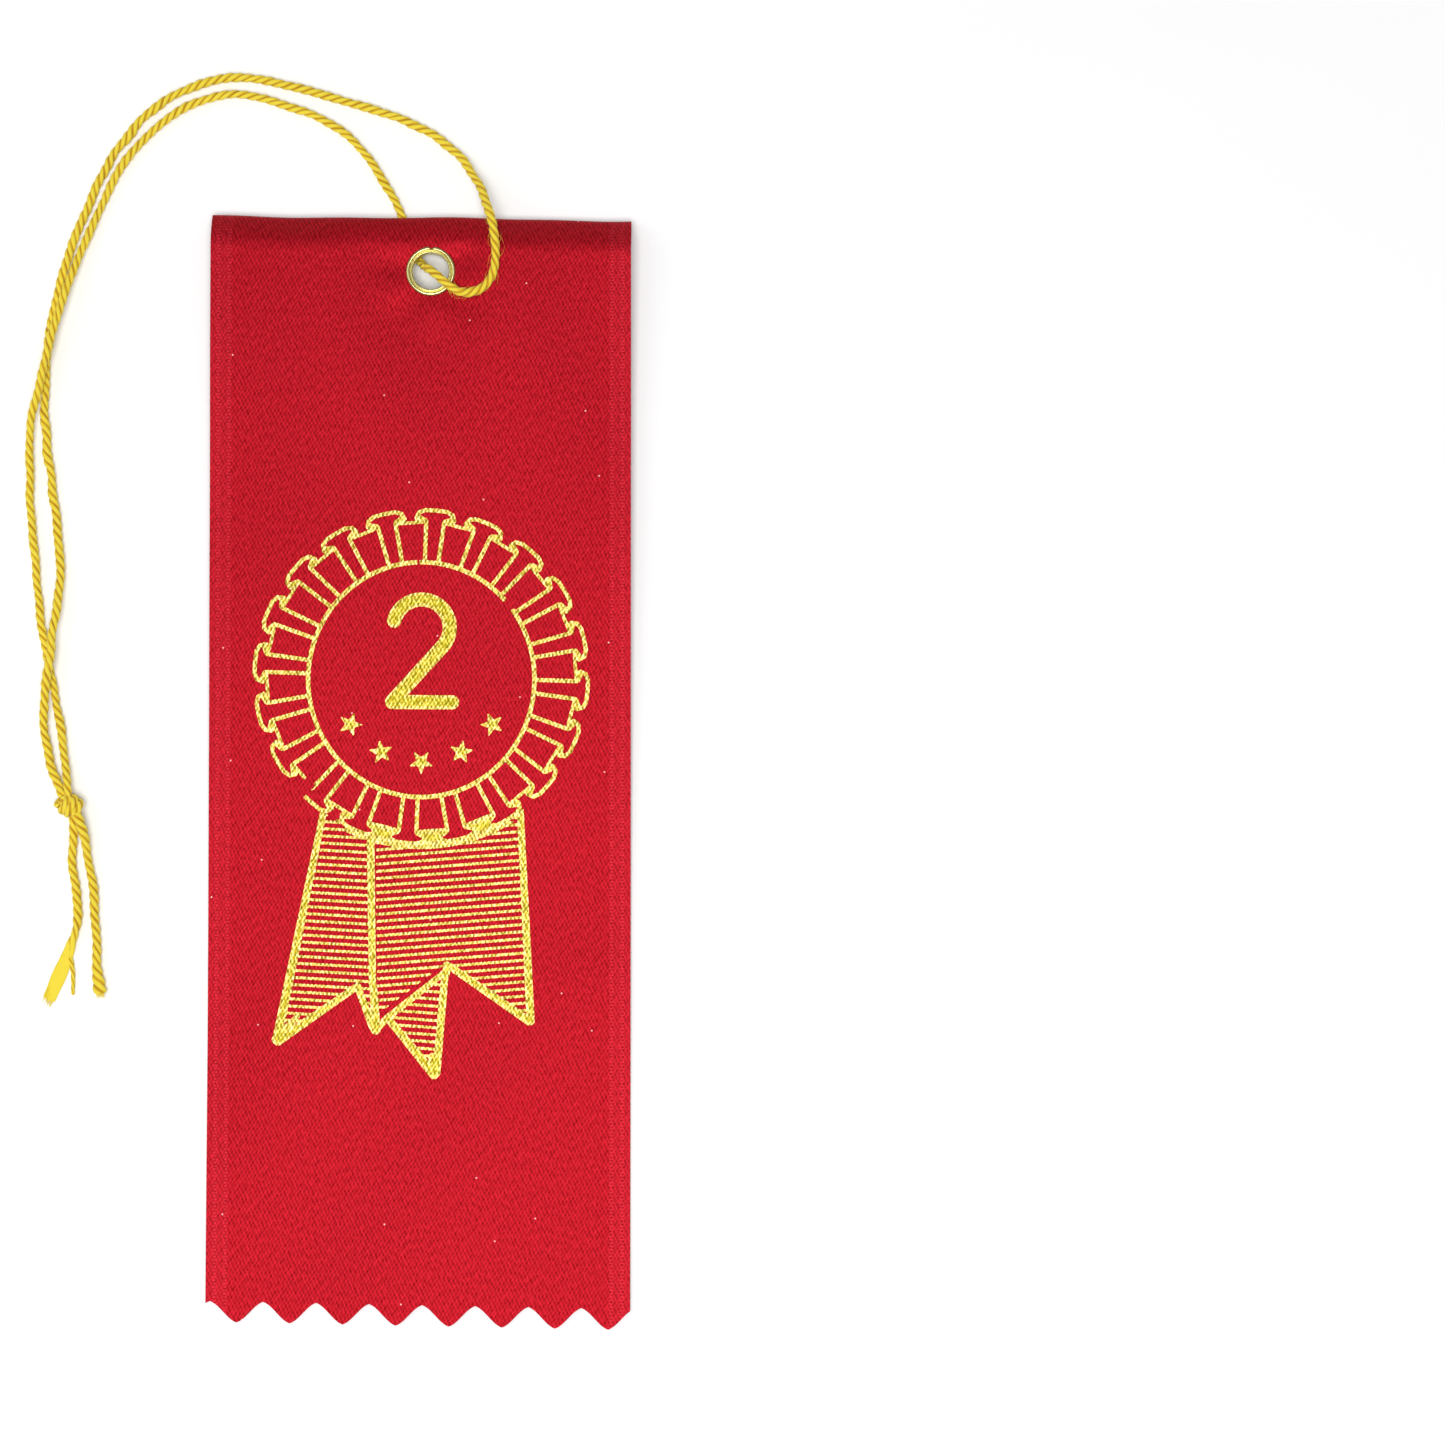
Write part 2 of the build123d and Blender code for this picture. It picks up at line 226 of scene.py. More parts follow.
def panel_height(x, y):
    """Height of the printed panel's middle: on the card above its foot, then down on the table in waves."""
    waves = 2 + np.sin(2 * np.pi * (x / 44 + y / 61) + 0.5) + np.sin(2 * np.pi * (x / 29 - y / 47))
    on_table = fabric / 2 + 0.10 * waves * ease(-y, 14, 26)
    on_card = front_middle(np.maximum(y, card_foot_y)) + front_lift(x, y)
    return on_table + (on_card - on_table) * ease(y, -30.0, -11.6)


# --- Ribbon: satin face and dull back ---------------------------------------------------------------
# Acetate satin: the long floats of its face lie in two slanting sets of rows, 0.44 and 0.39 mm apart,
# and shine like a soft red metal. Along both edges runs a close-woven selvedge with two rows of small
# bright stitches.
left_rows = (2.04, 1.00)     # rows per mm across and along the ribbon
right_rows = (2.07, -1.50)
level_rows = (0.03, 2.50)    # rows of binding points, seen only on the back
selvedge_width = 2.3
selvedge_stitches = (1.0, 2.3)
stitch_pitch = 0.4
stitch_reach = 0.22          # half a stitch's width
lint_spacing = 14.0
lint_radius = 0.1


def linear(colour):
    """Linear colour and alpha of an sRGB hex colour, each channel through the sRGB curve."""
    channels = np.array([int(colour[place:place + 2], 16) for place in (0, 2, 4)]) / 255
    dark = channels / 12.92
    light = ((channels + 0.055) / 1.055) ** 2.4
    return (*np.where(channels > 0.04045, light, dark).tolist(), 1.0)


def add_node(tree, kind, inputs=None, stops=None, **settings):
    """Adds a node: settings are its properties, inputs its sockets, each a value or another's output, and
    stops a colour ramp's places and colours in their order."""
    node = tree.nodes.new(kind)
    for name, value in settings.items():
        setattr(node, name, value)
    for socket, value in (inputs or {}).items():
        if isinstance(value, bpy.types.NodeSocket):
            tree.links.new(value, node.inputs[socket])
        else:
            node.inputs[socket].default_value = value
    if stops:
        ramp = node.color_ramp.elements
        for position, colour in stops[1:-1]:
            ramp.new(position).color = linear(colour)
        for end in (0, -1):
            ramp[end].position = stops[end][0]
            ramp[end].color = linear(stops[end][1])
    return node


def start_material(name):
    """A new material, its own emptied node tree, and the piece's pattern in mm to work from."""
    material = bpy.data.materials.new(name)
    material.use_nodes = True
    tree = material.node_tree
    tree.nodes.clear()
    return material, tree, add_node(tree, "ShaderNodeUVMap", uv_map="pattern").outputs["UV"]


def finish_material(tree, inputs):
    """Adds the shader with its inputs, and the output."""
    shader = add_node(tree, "ShaderNodeBsdfPrincipled", inputs)
    add_node(tree, "ShaderNodeOutputMaterial", {"Surface": shader.outputs["BSDF"]})


def weave_tone(tree, place, rows):
    """Tone of the woven threads at a place in mm, about 0.5: uneven threads, about 0.3 mm wide, and a
    wave for each set of rows, given with the wave's height."""
    threads = add_node(
        tree, "ShaderNodeMapping",
        {"Vector": place, "Rotation": (0, 0, math.radians(-26)), "Scale": (3.2, 1.5, 1.0)})
    threads = add_node(
        tree, "ShaderNodeTexNoise", {"Vector": threads.outputs[0], "Scale": 1.0, "Detail": 3.0})
    tone = threads.outputs["Fac"]
    for (across, along), depth in rows:
        wave = add_node(
            tree, "ShaderNodeVectorMath",
            {0: place, 1: (2 * np.pi * across, 2 * np.pi * along, 0.0)}, operation="DOT_PRODUCT")
        wave = add_node(tree, "ShaderNodeMath", {0: wave.outputs["Value"]}, operation="COSINE")
        tone = add_node(
            tree, "ShaderNodeMath", {0: wave.outputs[0], 1: depth, 2: tone},
            operation="MULTIPLY_ADD").outputs[0]
    return tone


satin_material, tree, place = start_material("acetate_satin_red")
# The rows waver by about 0.1 mm.
waver = add_node(tree, "ShaderNodeTexNoise", {"Vector": place, "Scale": 0.9, "Detail": 2.0})
waver = add_node(
    tree, "ShaderNodeVectorMath", {0: waver.outputs["Color"], 1: (0.5, 0.5, 0.5)}, operation="SUBTRACT")
woven = add_node(
    tree, "ShaderNodeVectorMath", {0: waver.outputs[0], 1: (0.22, 0.22, 0.0), 2: place},
    operation="MULTIPLY_ADD")
weave = weave_tone(tree, woven.outputs[0], ((left_rows, 0.13), (right_rows, 0.10)))
dye = add_node(tree, "ShaderNodeValToRGB", {"Fac": weave}, stops=((0.18, "76050c"), (0.84, "c01e2c")))
# The selvedge fades in over 0.8 mm, and its stitches are brighter every 0.4 mm.
split = add_node(tree, "ShaderNodeSeparateXYZ", {"Vector": place})
off_middle = add_node(tree, "ShaderNodeMath", {0: split.outputs["X"]}, operation="ABSOLUTE")
beat = add_node(
    tree, "ShaderNodeMath", {0: split.outputs["Y"], 1: 2 * np.pi / stitch_pitch}, operation="MULTIPLY")
beat = add_node(tree, "ShaderNodeMath", {0: beat.outputs[0]}, operation="SINE")
beat = add_node(tree, "ShaderNodeMath", {0: beat.outputs[0], 1: 0.17, 2: 0.04}, operation="MULTIPLY_ADD")
selvedge_start = ribbon_half - selvedge_width
selvedge = add_node(
    tree, "ShaderNodeMapRange",
    {0: off_middle.outputs[0], 1: selvedge_start - 0.4, 2: selvedge_start + 0.4, 4: 0.04})
stitched = selvedge.outputs[0]
for from_edge in selvedge_stitches:
    column = add_node(
        tree, "ShaderNodeMath", {0: off_middle.outputs[0], 1: ribbon_half - from_edge, 2: stitch_reach},
        operation="COMPARE")
    stitched = add_node(
        tree, "ShaderNodeMath", {0: column.outputs[0], 1: beat.outputs[0], 2: stitched},
        operation="MULTIPLY_ADD").outputs[0]
edged = add_node(
    tree, "ShaderNodeMix", {0: stitched, 6: dye.outputs["Color"], 7: linear("f0485a")},
    data_type="RGBA", clamp_factor=True)
# Pale specks of lint cling to it here and there.
lint = add_node(
    tree, "ShaderNodeTexVoronoi", {"Vector": place, "Scale": 1 / lint_spacing}, voronoi_dimensions="2D")
lint = add_node(
    tree, "ShaderNodeMath", {0: lint.outputs["Distance"], 1: lint_radius / lint_spacing},
    operation="LESS_THAN")
linty = add_node(
    tree, "ShaderNodeMix", {0: lint.outputs[0], 6: edged.outputs[2], 7: linear("e8a9a4")}, data_type="RGBA")
relief = add_node(tree, "ShaderNodeBump", {"Height": weave, "Distance": 0.05 * mm, "Strength": 0.8})
finish_material(tree, {
    "Base Color": linty.outputs[2], "Normal": relief.outputs["Normal"], "Metallic": 0.27, "Roughness": 0.45,
    "Specular IOR Level": 0.4, "Specular Tint": linear("ff4050"),
})

# Back of the satin: the binding points of the weave show as pale dots in rows on a dark ground. It has
# no gloss.
dull_material, tree, place = start_material("acetate_satin_back")
weave = weave_tone(tree, place, ((left_rows, 0.12), (right_rows, 0.12), (level_rows, 0.14)))
dye = add_node(tree, "ShaderNodeValToRGB", {"Fac": weave}, stops=((0.30, "7e0814"), (0.95, "cc3547")))
relief = add_node(tree, "ShaderNodeBump", {"Height": weave, "Distance": 0.05 * mm, "Strength": 0.7})
finish_material(tree, {
    "Base Color": dye.outputs["Color"], "Normal": relief.outputs["Normal"], "Roughness": 0.8,
    "Specular IOR Level": 0.1,
})

# --- Ribbon: the folded head ------------------------------------------------------------------------
# The strip comes up over the card, rolls over its head and comes down behind it as a flap with a
# pinked end. The flap is a little askew, and one eyelet holds it.
flap_length = 12.95          # from the folded edge to the teeth's tips, at the middle
flap_first_tooth = -22.1
flap_turn = 0.2              # how far the flap's end has slipped sideways
flap_skew = 0.034            # how much longer the flap is for each mm across
flap_cut = 8.0               # length of flap over which the rows of cloth follow the pinked cut
flap_middle = -(card_thickness + 2 * air_gap + fabric)
# The strip's section is a quadratic B-spline: its controls are (y, height over the sloping face).
controls = np.array((
    (meet_y, 0.0), (54.0, 0.0), (58.0, 0.0), (61.0, 0.0), (62.8, 0.03), (64.2, 0.0), (65.5, -0.42),
    (66.6, -1.10), (67.0, -1.62), (66.3, -1.95), (64.9, -1.62), (63.2, flap_middle - 0.25),
    (61.2, flap_middle), (57.0, flap_middle), (52.5, flap_middle),
))
controls[:, 1] += front_middle(controls[:, 0])
t = np.linspace(0, 1, 16, endpoint=False)[:, None]
joins = np.concatenate((controls[:1], (controls[1:-2] + controls[2:-1]) / 2, controls[-1:]))
profile = np.concatenate([
    (1 - t) ** 2 * start + 2 * t * (1 - t) * control + t**2 * end
    for start, control, end in zip(joins, controls[1:-1], joins[1:])
])
profile, profile_run = evenly(profile, 0.05)
crest = np.argmax(profile[:, 0])
crest_run = profile_run[crest]
flap_run = np.interp(head_y - flap_length, profile[:crest:-1, 0], profile_run[:crest:-1])

x = cloth_columns(flap_first_tooth)
run = np.linspace(0, flap_run, round(flap_run / 0.26) + 1)[:, None]
flap_end = flap_run + flap_skew * x - teeth(x, flap_first_tooth)
run = run + (flap_end - flap_run) * np.clip((run - flap_run + flap_cut) / flap_cut, 0, 1)
x = np.broadcast_to(x, run.shape)
y = np.interp(run, profile_run, profile[:, 0])
z = np.interp(run, profile_run, profile[:, 1])
flap_part = ease(run, crest_run, crest_run + 3)
on_face = 1 - ease(run, crest_run - 4.5, crest_run - 1.0)
pattern = np.stack((x, meet_y + run), axis=-1)
# The folded edge is uneven, the roll waves away from the eyelet, and the flap puckers round it.
y = y + ease(run, 4, 13) * (-0.012 * x + 0.10 * np.sin(x / 5.3 + 0.6) + 0.05 * np.sin(x / 2.1))
near, angle = from_eyelet(x, y)
z = z + on_face * front_lift(x, y)
roll = (1 - on_face) * (1 - flap_part)
z = z + roll * 0.18 * np.sin(x / 6.1 + 2.0) * (1 - np.exp(-((x - eyelet_x) / 6) ** 2))
puckered = 0.10 * (1 + np.cos(6 * angle)) * np.exp(-((near - 5.4) / 2.2) ** 2)
loose = 0.16 * (1 + np.sin(x / 4.6 + 1.0)) * ease(near, 5, 11)
z = z - flap_part * (puckered + loose) * ease(run, crest_run + 1, crest_run + 5)
x, y, keep = punched(x - flap_turn * ease(run, crest_run, flap_run), y)
block, sides = shell(np.stack((x, y, z), axis=-1), pattern, fabric, keep)
folded_head = make_piece("ribbon_folded_head", [block], [satin_material, dull_material], sides == 1)
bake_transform(folded_head)
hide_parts("ribbon_head")

# --- Ribbon: the printed panel -----------------------------------------------------------------------
# The long panel below the fold, cut off with pinking shears. The cut runs slightly downhill. The panel
# lifts off the card at its crease.
panel_first_tooth = -21.7
cut_slope = -0.019
cut_inset = 0.25             # from foot_y up to the teeth's tips, at the middle
panel_cut = 12.0             # length of panel over which the rows of cloth follow the cut
panel_rows = 236
x = cloth_columns(panel_first_tooth)
cut_y = foot_y + cut_inset + cut_slope * x + teeth(x, panel_first_tooth)
even_y = foot_y + np.linspace(0, 1, panel_rows)[:, None] * (meet_y - foot_y)
y = even_y + (cut_y - foot_y) * np.clip(1 - (even_y - foot_y) / panel_cut, 0, 1)
x = np.broadcast_to(x, y.shape)
block, sides = shell(np.stack((x, y, panel_height(x, y)), axis=-1), np.stack((x, y), axis=-1), fabric)
panel = make_piece("ribbon_printed_panel", [block], [satin_material, dull_material], sides == 1)
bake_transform(panel)
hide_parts("ribbon_neck", "ribbon_tail")

# --- Writing card -------------------------------------------------------------------------------------
# Uncoated white card, punched out of a sheet, so that small torn nibs stand on its edges. Four lines
# are printed on its back. Its head is inside the fold, where the eyelet clamps it.
card_half = 22.225
card_head_y = 65.6
nib_reach = 0.38
nib_width = 0.3
side_nibs = ((-1, 47.2), (-1, 4.7), (1, 1.9))
foot_nib_x = 2.66
rule_places = (13.8, 6.5, -1.4, -9.0)
rule_middle, rule_half, rule_stroke = 18.75, 18.95, 0.13
card_materials = []
for name, rules in (("uncoated_white_card", ()), ("uncoated_white_card_ruled", rule_places)):
    material, tree, place = start_material(name)
    pulp = add_node(tree, "ShaderNodeTexNoise", {"Vector": place, "Scale": 3.0, "Detail": 4.0})
    paper = add_node(
        tree, "ShaderNodeMix", {0: pulp.outputs["Fac"], 6: linear("dddce3"), 7: linear("ebeaf0")},
        data_type="RGBA")
    # Each ruled line is a thin dark stroke, 38 mm long.
    split = add_node(tree, "ShaderNodeSeparateXYZ", {"Vector": place})
    for rule_x in rules:
        stroke_at = add_node(
            tree, "ShaderNodeMath", {0: split.outputs["X"], 1: rule_x, 2: rule_stroke}, operation="COMPARE")
        ruled_part = add_node(
            tree, "ShaderNodeMath", {0: split.outputs["Y"], 1: rule_middle, 2: rule_half},
            operation="COMPARE")
        ruled = add_node(
            tree, "ShaderNodeMath", {0: stroke_at.outputs[0], 1: ruled_part.outputs[0]},
            operation="MULTIPLY")
        paper = add_node(
            tree, "ShaderNodeMix", {0: ruled.outputs[0], 6: paper.outputs[2], 7: linear("161628")},
            data_type="RGBA")
    relief = add_node(
        tree, "ShaderNodeBump", {"Height": pulp.outputs["Fac"], "Distance": 0.03 * mm, "Strength": 0.4})
    finish_material(tree, {
        "Base Color": paper.outputs[2], "Normal": relief.outputs["Normal"], "Roughness": 0.8,
        "Specular IOR Level": 0.2,
    })
    card_materials.append(material)

nib_steps = np.linspace(-0.8, 0.8, 9)
x = np.unique(np.concatenate((np.linspace(-card_half, card_half, 90), foot_nib_x + nib_steps)))
y = np.unique(np.concatenate(
    [np.linspace(card_foot_y, card_head_y, 230)] + [nib_y + nib_steps for side, nib_y in side_nibs]))
x, y = np.broadcast_arrays(x, y[:, None])
pattern = np.stack((x, y), axis=-1)
foot_nib = nib_reach * np.exp(-(((x - foot_nib_x) / nib_width) ** 2)) * (y == y.min())
edge_nibs = sum(
    side * nib_reach * np.exp(-(((y - nib_y) / nib_width) ** 2)) * (x == side * card_half)
    for side, nib_y in side_nibs)
x, y, keep = punched(x, y)
x, y = x + edge_nibs, y - foot_nib
# Its head bends down with the fold, and keeps clear of it.
under_fold = np.interp(y + 0.5, profile[:crest, 0], profile[:crest, 1]) - front_middle(y + 0.5)
z = front_middle(y) - fabric / 2 - air_gap - card_thickness / 2 + np.minimum(under_fold, 0.0)
block, sides = shell(np.stack((x, y, z), axis=-1), pattern, card_thickness, keep)
card = make_piece("writing_card", [block], card_materials, sides == 1)
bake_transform(card)
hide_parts("card_top", "card_leaf")

# --- Eyelet --------------------------------------------------------------------------------------------
# Bright brass eyelet pressed from one tube: a narrow rounded flange in front, and behind it the end
# of the barrel, rolled outwards by the setting tool. The rim has a small nick at the top.
eyelet_sides = 128
brass_material, tree, place = start_material("bright_brass")
# Drawing marks run round the barrel and flange.
mark_width, mark_length = 0.08, 2.5
marks_place = add_node(
    tree, "ShaderNodeMapping", {"Vector": place, "Scale": (1 / mark_width, 1 / mark_length, 1.0)})
marks = add_node(tree, "ShaderNodeTexNoise", {"Vector": marks_place.outputs[0], "Scale": 1.0, "Detail": 2.0})
brass = add_node(
    tree, "ShaderNodeMix", {0: marks.outputs["Fac"], 6: linear("bdb26e"), 7: linear("dcd498")},
    data_type="RGBA")
finish_material(tree, {"Base Color": brass.outputs[2], "Metallic": 1.0, "Roughness": 0.28})

# The section runs up the bore, over the flange's two beads, down the barrel and round the roll behind.
bore, barrel, flange, roll_reach = 2.2, 2.45, 3.02, 3.42
clamped = 2 * fabric + card_thickness + 2 * air_gap
top = clamped + np.array((0.05, 0.20, 0.28, 0.28, 0.21, 0.15, 0.22, 0.31, 0.33, 0.27, 0.17, 0.06, 0.01))
bead = np.array((2.20, 2.23, 2.30, 2.38, 2.45, 2.50, 2.56, 2.66, 2.78, 2.89, 2.98, flange, flange - 0.05))
section = np.concatenate((
    ((bore, 0.0), (bore, clamped * 0.5)), np.column_stack((bead, top)),
    ((barrel, clamped + 0.01), (barrel, clamped * 0.5), (barrel, -0.02), (roll_reach - 0.25, -0.02),
     (roll_reach, -0.14), (roll_reach + 0.02, -0.34), (roll_reach - 0.16, -0.56), (roll_reach - 0.46, -0.68),
     (roll_reach - 0.80, -0.66), (bore + 0.10, -0.46), (bore, -0.20)),
))
around = np.linspace(0, 2 * np.pi, eyelet_sides, endpoint=False)
radius, height = section[:, 0][:, None], section[:, 1][:, None]
nick = np.exp(-(((around - np.pi / 2 + 0.03) / 0.06) ** 2)) * (height > clamped) * (radius > bore + 0.5)
worn = 0.02 * np.sin(3 * around + 1.0) * (height < 0)
reach = radius - 0.3 * nick + worn
height = np.broadcast_to(height, reach.shape) + 0.015 * np.sin(2 * around) * (height > clamped)
lean = math.atan(card_rise)
seat_z = front_middle(eyelet_y) + fabric / 2 - clamped
rings = np.stack((
    eyelet_x + reach * np.cos(around),
    eyelet_y + reach * np.sin(around) * math.cos(lean) - height * math.sin(lean),
    seat_z + reach * np.sin(around) * math.sin(lean) + height * math.cos(lean),
), axis=-1)
number = np.arange(reach.size).reshape(reach.shape)
above = np.roll(number, -1, axis=0)
faces = np.stack(
    (number, above, np.roll(above, -1, axis=1), np.roll(number, -1, axis=1)), axis=-1).reshape(-1, 4)
turn = np.arange(eyelet_sides + 1) * 2 * np.pi * bore / eyelet_sides
step = np.arange(len(section) + 1) * 0.3
places = np.stack(np.broadcast_arrays(
    np.stack((step[:-1], step[1:], step[1:], step[:-1]), axis=-1)[:, None],
    np.stack((turn[:-1], turn[:-1], turn[1:], turn[1:]), axis=-1)[None],
), axis=-1)
eyelet = make_piece("brass_eyelet", [(rings, (faces,), (places,))], [brass_material])
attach(eyelet, "head")
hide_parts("eyelet")

# --- Foil stamp ------------------------------------------------------------------------------------------
# Gold foil pressed on with a hot die: a rosette of pleats round a ring, two hatched streamers, a plain
# numeral and five stars. The foil takes the weave below it, glints in specks, and is palest at its rims.
foil = 0.035
foil_cell = 0.105
foil_lift = 0.008            # keeps the foil's back clear of the satin
foil_rim = 0.3               # width of the pale rim
slide_most = 0.08            # how far a point on the edge may slide to it
stamp_x, stamp_y = 0.17, 11.2
rim_radius, pleat_count, pleat_turn = 20.1, 20, math.radians(5.0)
star_orbit, star_tip, star_valley = 10.3, 1.5, 0.63
hatch_pitch, hatch_half = 0.86, 0.16
foil_materials = []
for name, shade, body, glint in (
    ("hot_stamped_foil_rim", "7c671c", "bfa94f", "e8d896"),
    ("hot_stamped_foil_field", "7e7212", "a89826", "dfcc6a"),
):
    material, tree, place = start_material(name)
    # The threads below print through, with specks where they cross.
    weave = weave_tone(tree, place, ((left_rows, 0.07), (right_rows, 0.07)))
    gilt = add_node(
        tree, "ShaderNodeValToRGB", {"Fac": weave}, stops=((0.33, shade), (0.5, body), (0.68, glint)))
    relief = add_node(tree, "ShaderNodeBump", {"Height": weave, "Distance": 0.1 * mm, "Strength": 0.8})
    finish_material(tree, {
        "Base Color": gilt.outputs["Color"], "Normal": relief.outputs["Normal"], "Metallic": 1.0,
        "Roughness": 0.5,
    })
    foil_materials.append(material)


def stroke(x, y, start, end, half, end_half=None):
    """Distance from a straight line between two points, less the stroke's half width, which may taper."""
    run = np.subtract(end, start)
    share = np.clip(((x - start[0]) * run[0] + (y - start[1]) * run[1]) / (run @ run), 0, 1)
    width = half if end_half is None else half + (end_half - half) * share
    return np.hypot(x - start[0] - share * run[0], y - start[1] - share * run[1]) - width


def polygon(x, y, corners):
    """Distance from a closed outline, below 0 inside, where an odd number of its sides lie to the right."""
    nearest = np.full(x.shape, 1e9)
    inside = np.zeros(x.shape, bool)
    for start, end in zip(corners, corners[1:] + corners[:1]):
        nearest = np.minimum(nearest, stroke(x, y, start, end, 0.0))
        crossed = (start[1] > y) != (end[1] > y)
        rise = end[1] - start[1] or 1e-9
        inside ^= crossed & (x < (end[0] - start[0]) * (y - start[1]) / rise + start[0])
    return np.where(inside, -nearest, nearest)


def rosette(x, y):
    """An oval ring with pleats round it. Each pleat is drawn in its own upright frame, one half mirrored:
    a stem that tapers down to the ring, a filled corner at the shoulder, a rounded cap, and the edge of the
    cell beside it. The die left the ring open at two places and one cap worn."""
    ring_x, ring_y, centre_y = 13.63, 14.15, 10.85
    out = np.hypot((x - stamp_x) / ring_x, (y - centre_y) / ring_y)
    ring = np.abs(out - 1) * ring_x - 0.26
    far = np.hypot(x - stamp_x, y - stamp_y)
    angle = np.arctan2(x - stamp_x, y - stamp_y)
    sector = 2 * np.pi / pleat_count
    pleat = (angle - pleat_turn) / sector
    turn = (pleat - np.round(pleat)) * sector
    side, up = np.abs(far * np.sin(turn)), far * np.cos(turn)
    stem = np.maximum(stroke(side, up, (0.78, 13.2), (1.08, 18.7), 0.24), (1 - out) * ring_x)
    corner = stroke(side, up, (1.25, 18.8), (1.95, 18.95), 0.32, 0.45)
    cap_side = stroke(side, up, (2.26, 19.0), (2.02, 19.7), 0.25)
    cap_corner = stroke(side, up, (2.02, 19.7), (1.30, 20.05), 0.24)
    cap = stroke(side, up, (1.30, 20.05), (0.0, rim_radius), 0.24)
    cell = stroke(side, up, (1.5, 18.6), (3.2, 18.3), 0.2)
    # Below, where the streamers start, the notches between the caps are filled.
    notch = np.maximum.reduce((1.9 - side, 18.6 - up, far - rim_radius, y + 6.0))
    ring_gap = (np.abs(angle - 0.883) < 0.05) | (np.abs(angle + 0.03) < 0.008)
    worn_cap = (np.abs(angle + 2.33) < 0.035) & (far > 18.3)
    ring = np.where(ring_gap, 1.0, ring)
    lines = np.minimum.reduce((ring, stem, corner, cap_side, cap, cap_corner, cell, notch))
    return np.where(worn_cap, 1.0, lines)


def numeral(x, y):
    """A plain 2: a round bowl open at the left, a straight slant down to the left, and a level foot."""
    x, y = x - stamp_x, y - stamp_y - 2.9
    half = 0.85
    bowl_y, bowl_radius = 3.0, 3.4
    bowl_start, bowl_end = math.radians(-40), math.radians(165)
    angle = np.arctan2(y - bowl_y, x)
    bowl = np.abs(np.hypot(x, y - bowl_y) - bowl_radius) - half
    bowl = np.where((angle > bowl_start) & (angle < bowl_end), bowl, 1e9)
    tip = stroke(x, y, (-3.28, 3.88), (-3.29, 3.85), half)
    knee = (bowl_radius * math.cos(bowl_start), bowl_y + bowl_radius * math.sin(bowl_start))
    slant = stroke(x, y, knee, (-3.5, -5.9), half)
    foot = stroke(x, y, (-3.5, -5.95), (3.7, -6.0), half)
    return np.minimum.reduce((bowl, tip, slant, foot))


def stars(x, y):
    """Five five-pointed stars on an arc below the numeral, each turned to point away from the middle."""
    nearest = np.full(x.shape, 1e9)
    for place in np.radians(np.linspace(-146, -34, 5)):
        corner = place + np.pi * np.arange(10) / 5
        reach = np.where(np.arange(10) % 2 == 0, star_tip, star_valley)
        centre_x, centre_y = stamp_x + star_orbit * math.cos(place), stamp_y + star_orbit * math.sin(place)
        points = np.stack((centre_x + reach * np.cos(corner), centre_y + reach * np.sin(corner)), axis=-1)
        nearest = np.minimum(nearest, polygon(x, y, points.tolist()))
    return nearest


def hatch(x, y, slope, offset=0.0):
    """Even lines that climb by the given slope: the distance to the nearest, less half its thickness."""
    level = (y - slope * x - offset) / hatch_pitch
    return np.abs(level - np.round(level)) * hatch_pitch - hatch_half


def below_rosette(x, y):
    """Above 0 on the rosette's lines and inside its rim, where the streamers are behind it."""
    return -np.minimum(np.hypot(x - stamp_x, y - stamp_y) - rim_radius, rosette(x, y))


def left_streamer(x, y):
    """The left streamer: a hatched band with a swallow tail and strokes along its sides and tail."""
    band = polygon(x, y, [(-11.5, -4.4), (-17.2, -32.6), (-7.3, -25.9), (-5.6, -31.2), (-5.5, -7.0)])
    lines = (
        stroke(x, y, (-11.5, -4.6), (-17.0, -32.2), 0.38, 0.55),
        stroke(x, y, (-17.1, -32.4), (-14.6, -29.6), 0.55, 0.30),
        stroke(x, y, (-16.9, -32.6), (-7.4, -26.0), 0.52, 0.40),
        stroke(x, y, (-7.4, -26.0), (-5.6, -30.8), 0.40, 0.45),
        stroke(x, y, (-5.9, -8.0), (-5.6, -26.0), 0.45, 0.42),
        stroke(x, y, (-5.5, -26.0), (-5.2, -31.2), 0.42, 0.60),
    )
    shape = np.minimum.reduce((np.maximum(band, hatch(x, y, -0.055)), *lines))
    return np.maximum(shape, below_rosette(x, y))


def right_streamer(x, y):
    """The right streamer: a wide hatched band, and its folded tail with hatching that leans the other way."""
    band = polygon(x, y, [(-5.3, -7.0), (-5.0, -29.4), (3.3, -23.2), (13.4, -30.4), (12.2, -4.4)])
    tail = polygon(x, y, [(-3.9, -29.4), (2.2, -36.8), (3.1, -24.0)])
    base = np.maximum(np.abs(np.hypot(x - stamp_x, y - stamp_y) - rim_radius - 0.2) - 0.45, y + 6.2)
    lines = (
        stroke(x, y, (12.1, -4.6), (13.4, -30.2), 0.40, 0.48),
        stroke(x, y, (13.2, -30.2), (3.6, -23.6), 0.50, 0.42),
        stroke(x, y, (3.3, -23.5), (3.2, -24.6), 0.45, 0.45),
        stroke(x, y, (3.0, -24.4), (-3.8, -29.8), 0.36, 0.40),
        stroke(x, y, (3.1, -24.4), (2.1, -36.4), 0.42, 0.48),
        stroke(x, y, (-3.8, -29.8), (1.8, -36.6), 0.42, 0.55),
        stroke(x, y, (1.7, -34.6), (1.9, -36.4), 0.60, 0.55),
        stroke(x, y, (-5.0, -31.0), (-3.8, -29.8), 0.45, 0.40),
    )
    shape = np.minimum.reduce((
        np.maximum(band, hatch(x, y, 0.078, 0.2)), np.maximum(tail, hatch(x, y, -0.07, 0.1)), base, *lines))
    return np.maximum.reduce((shape, below_rosette(x, y), -left_streamer(x, y)))


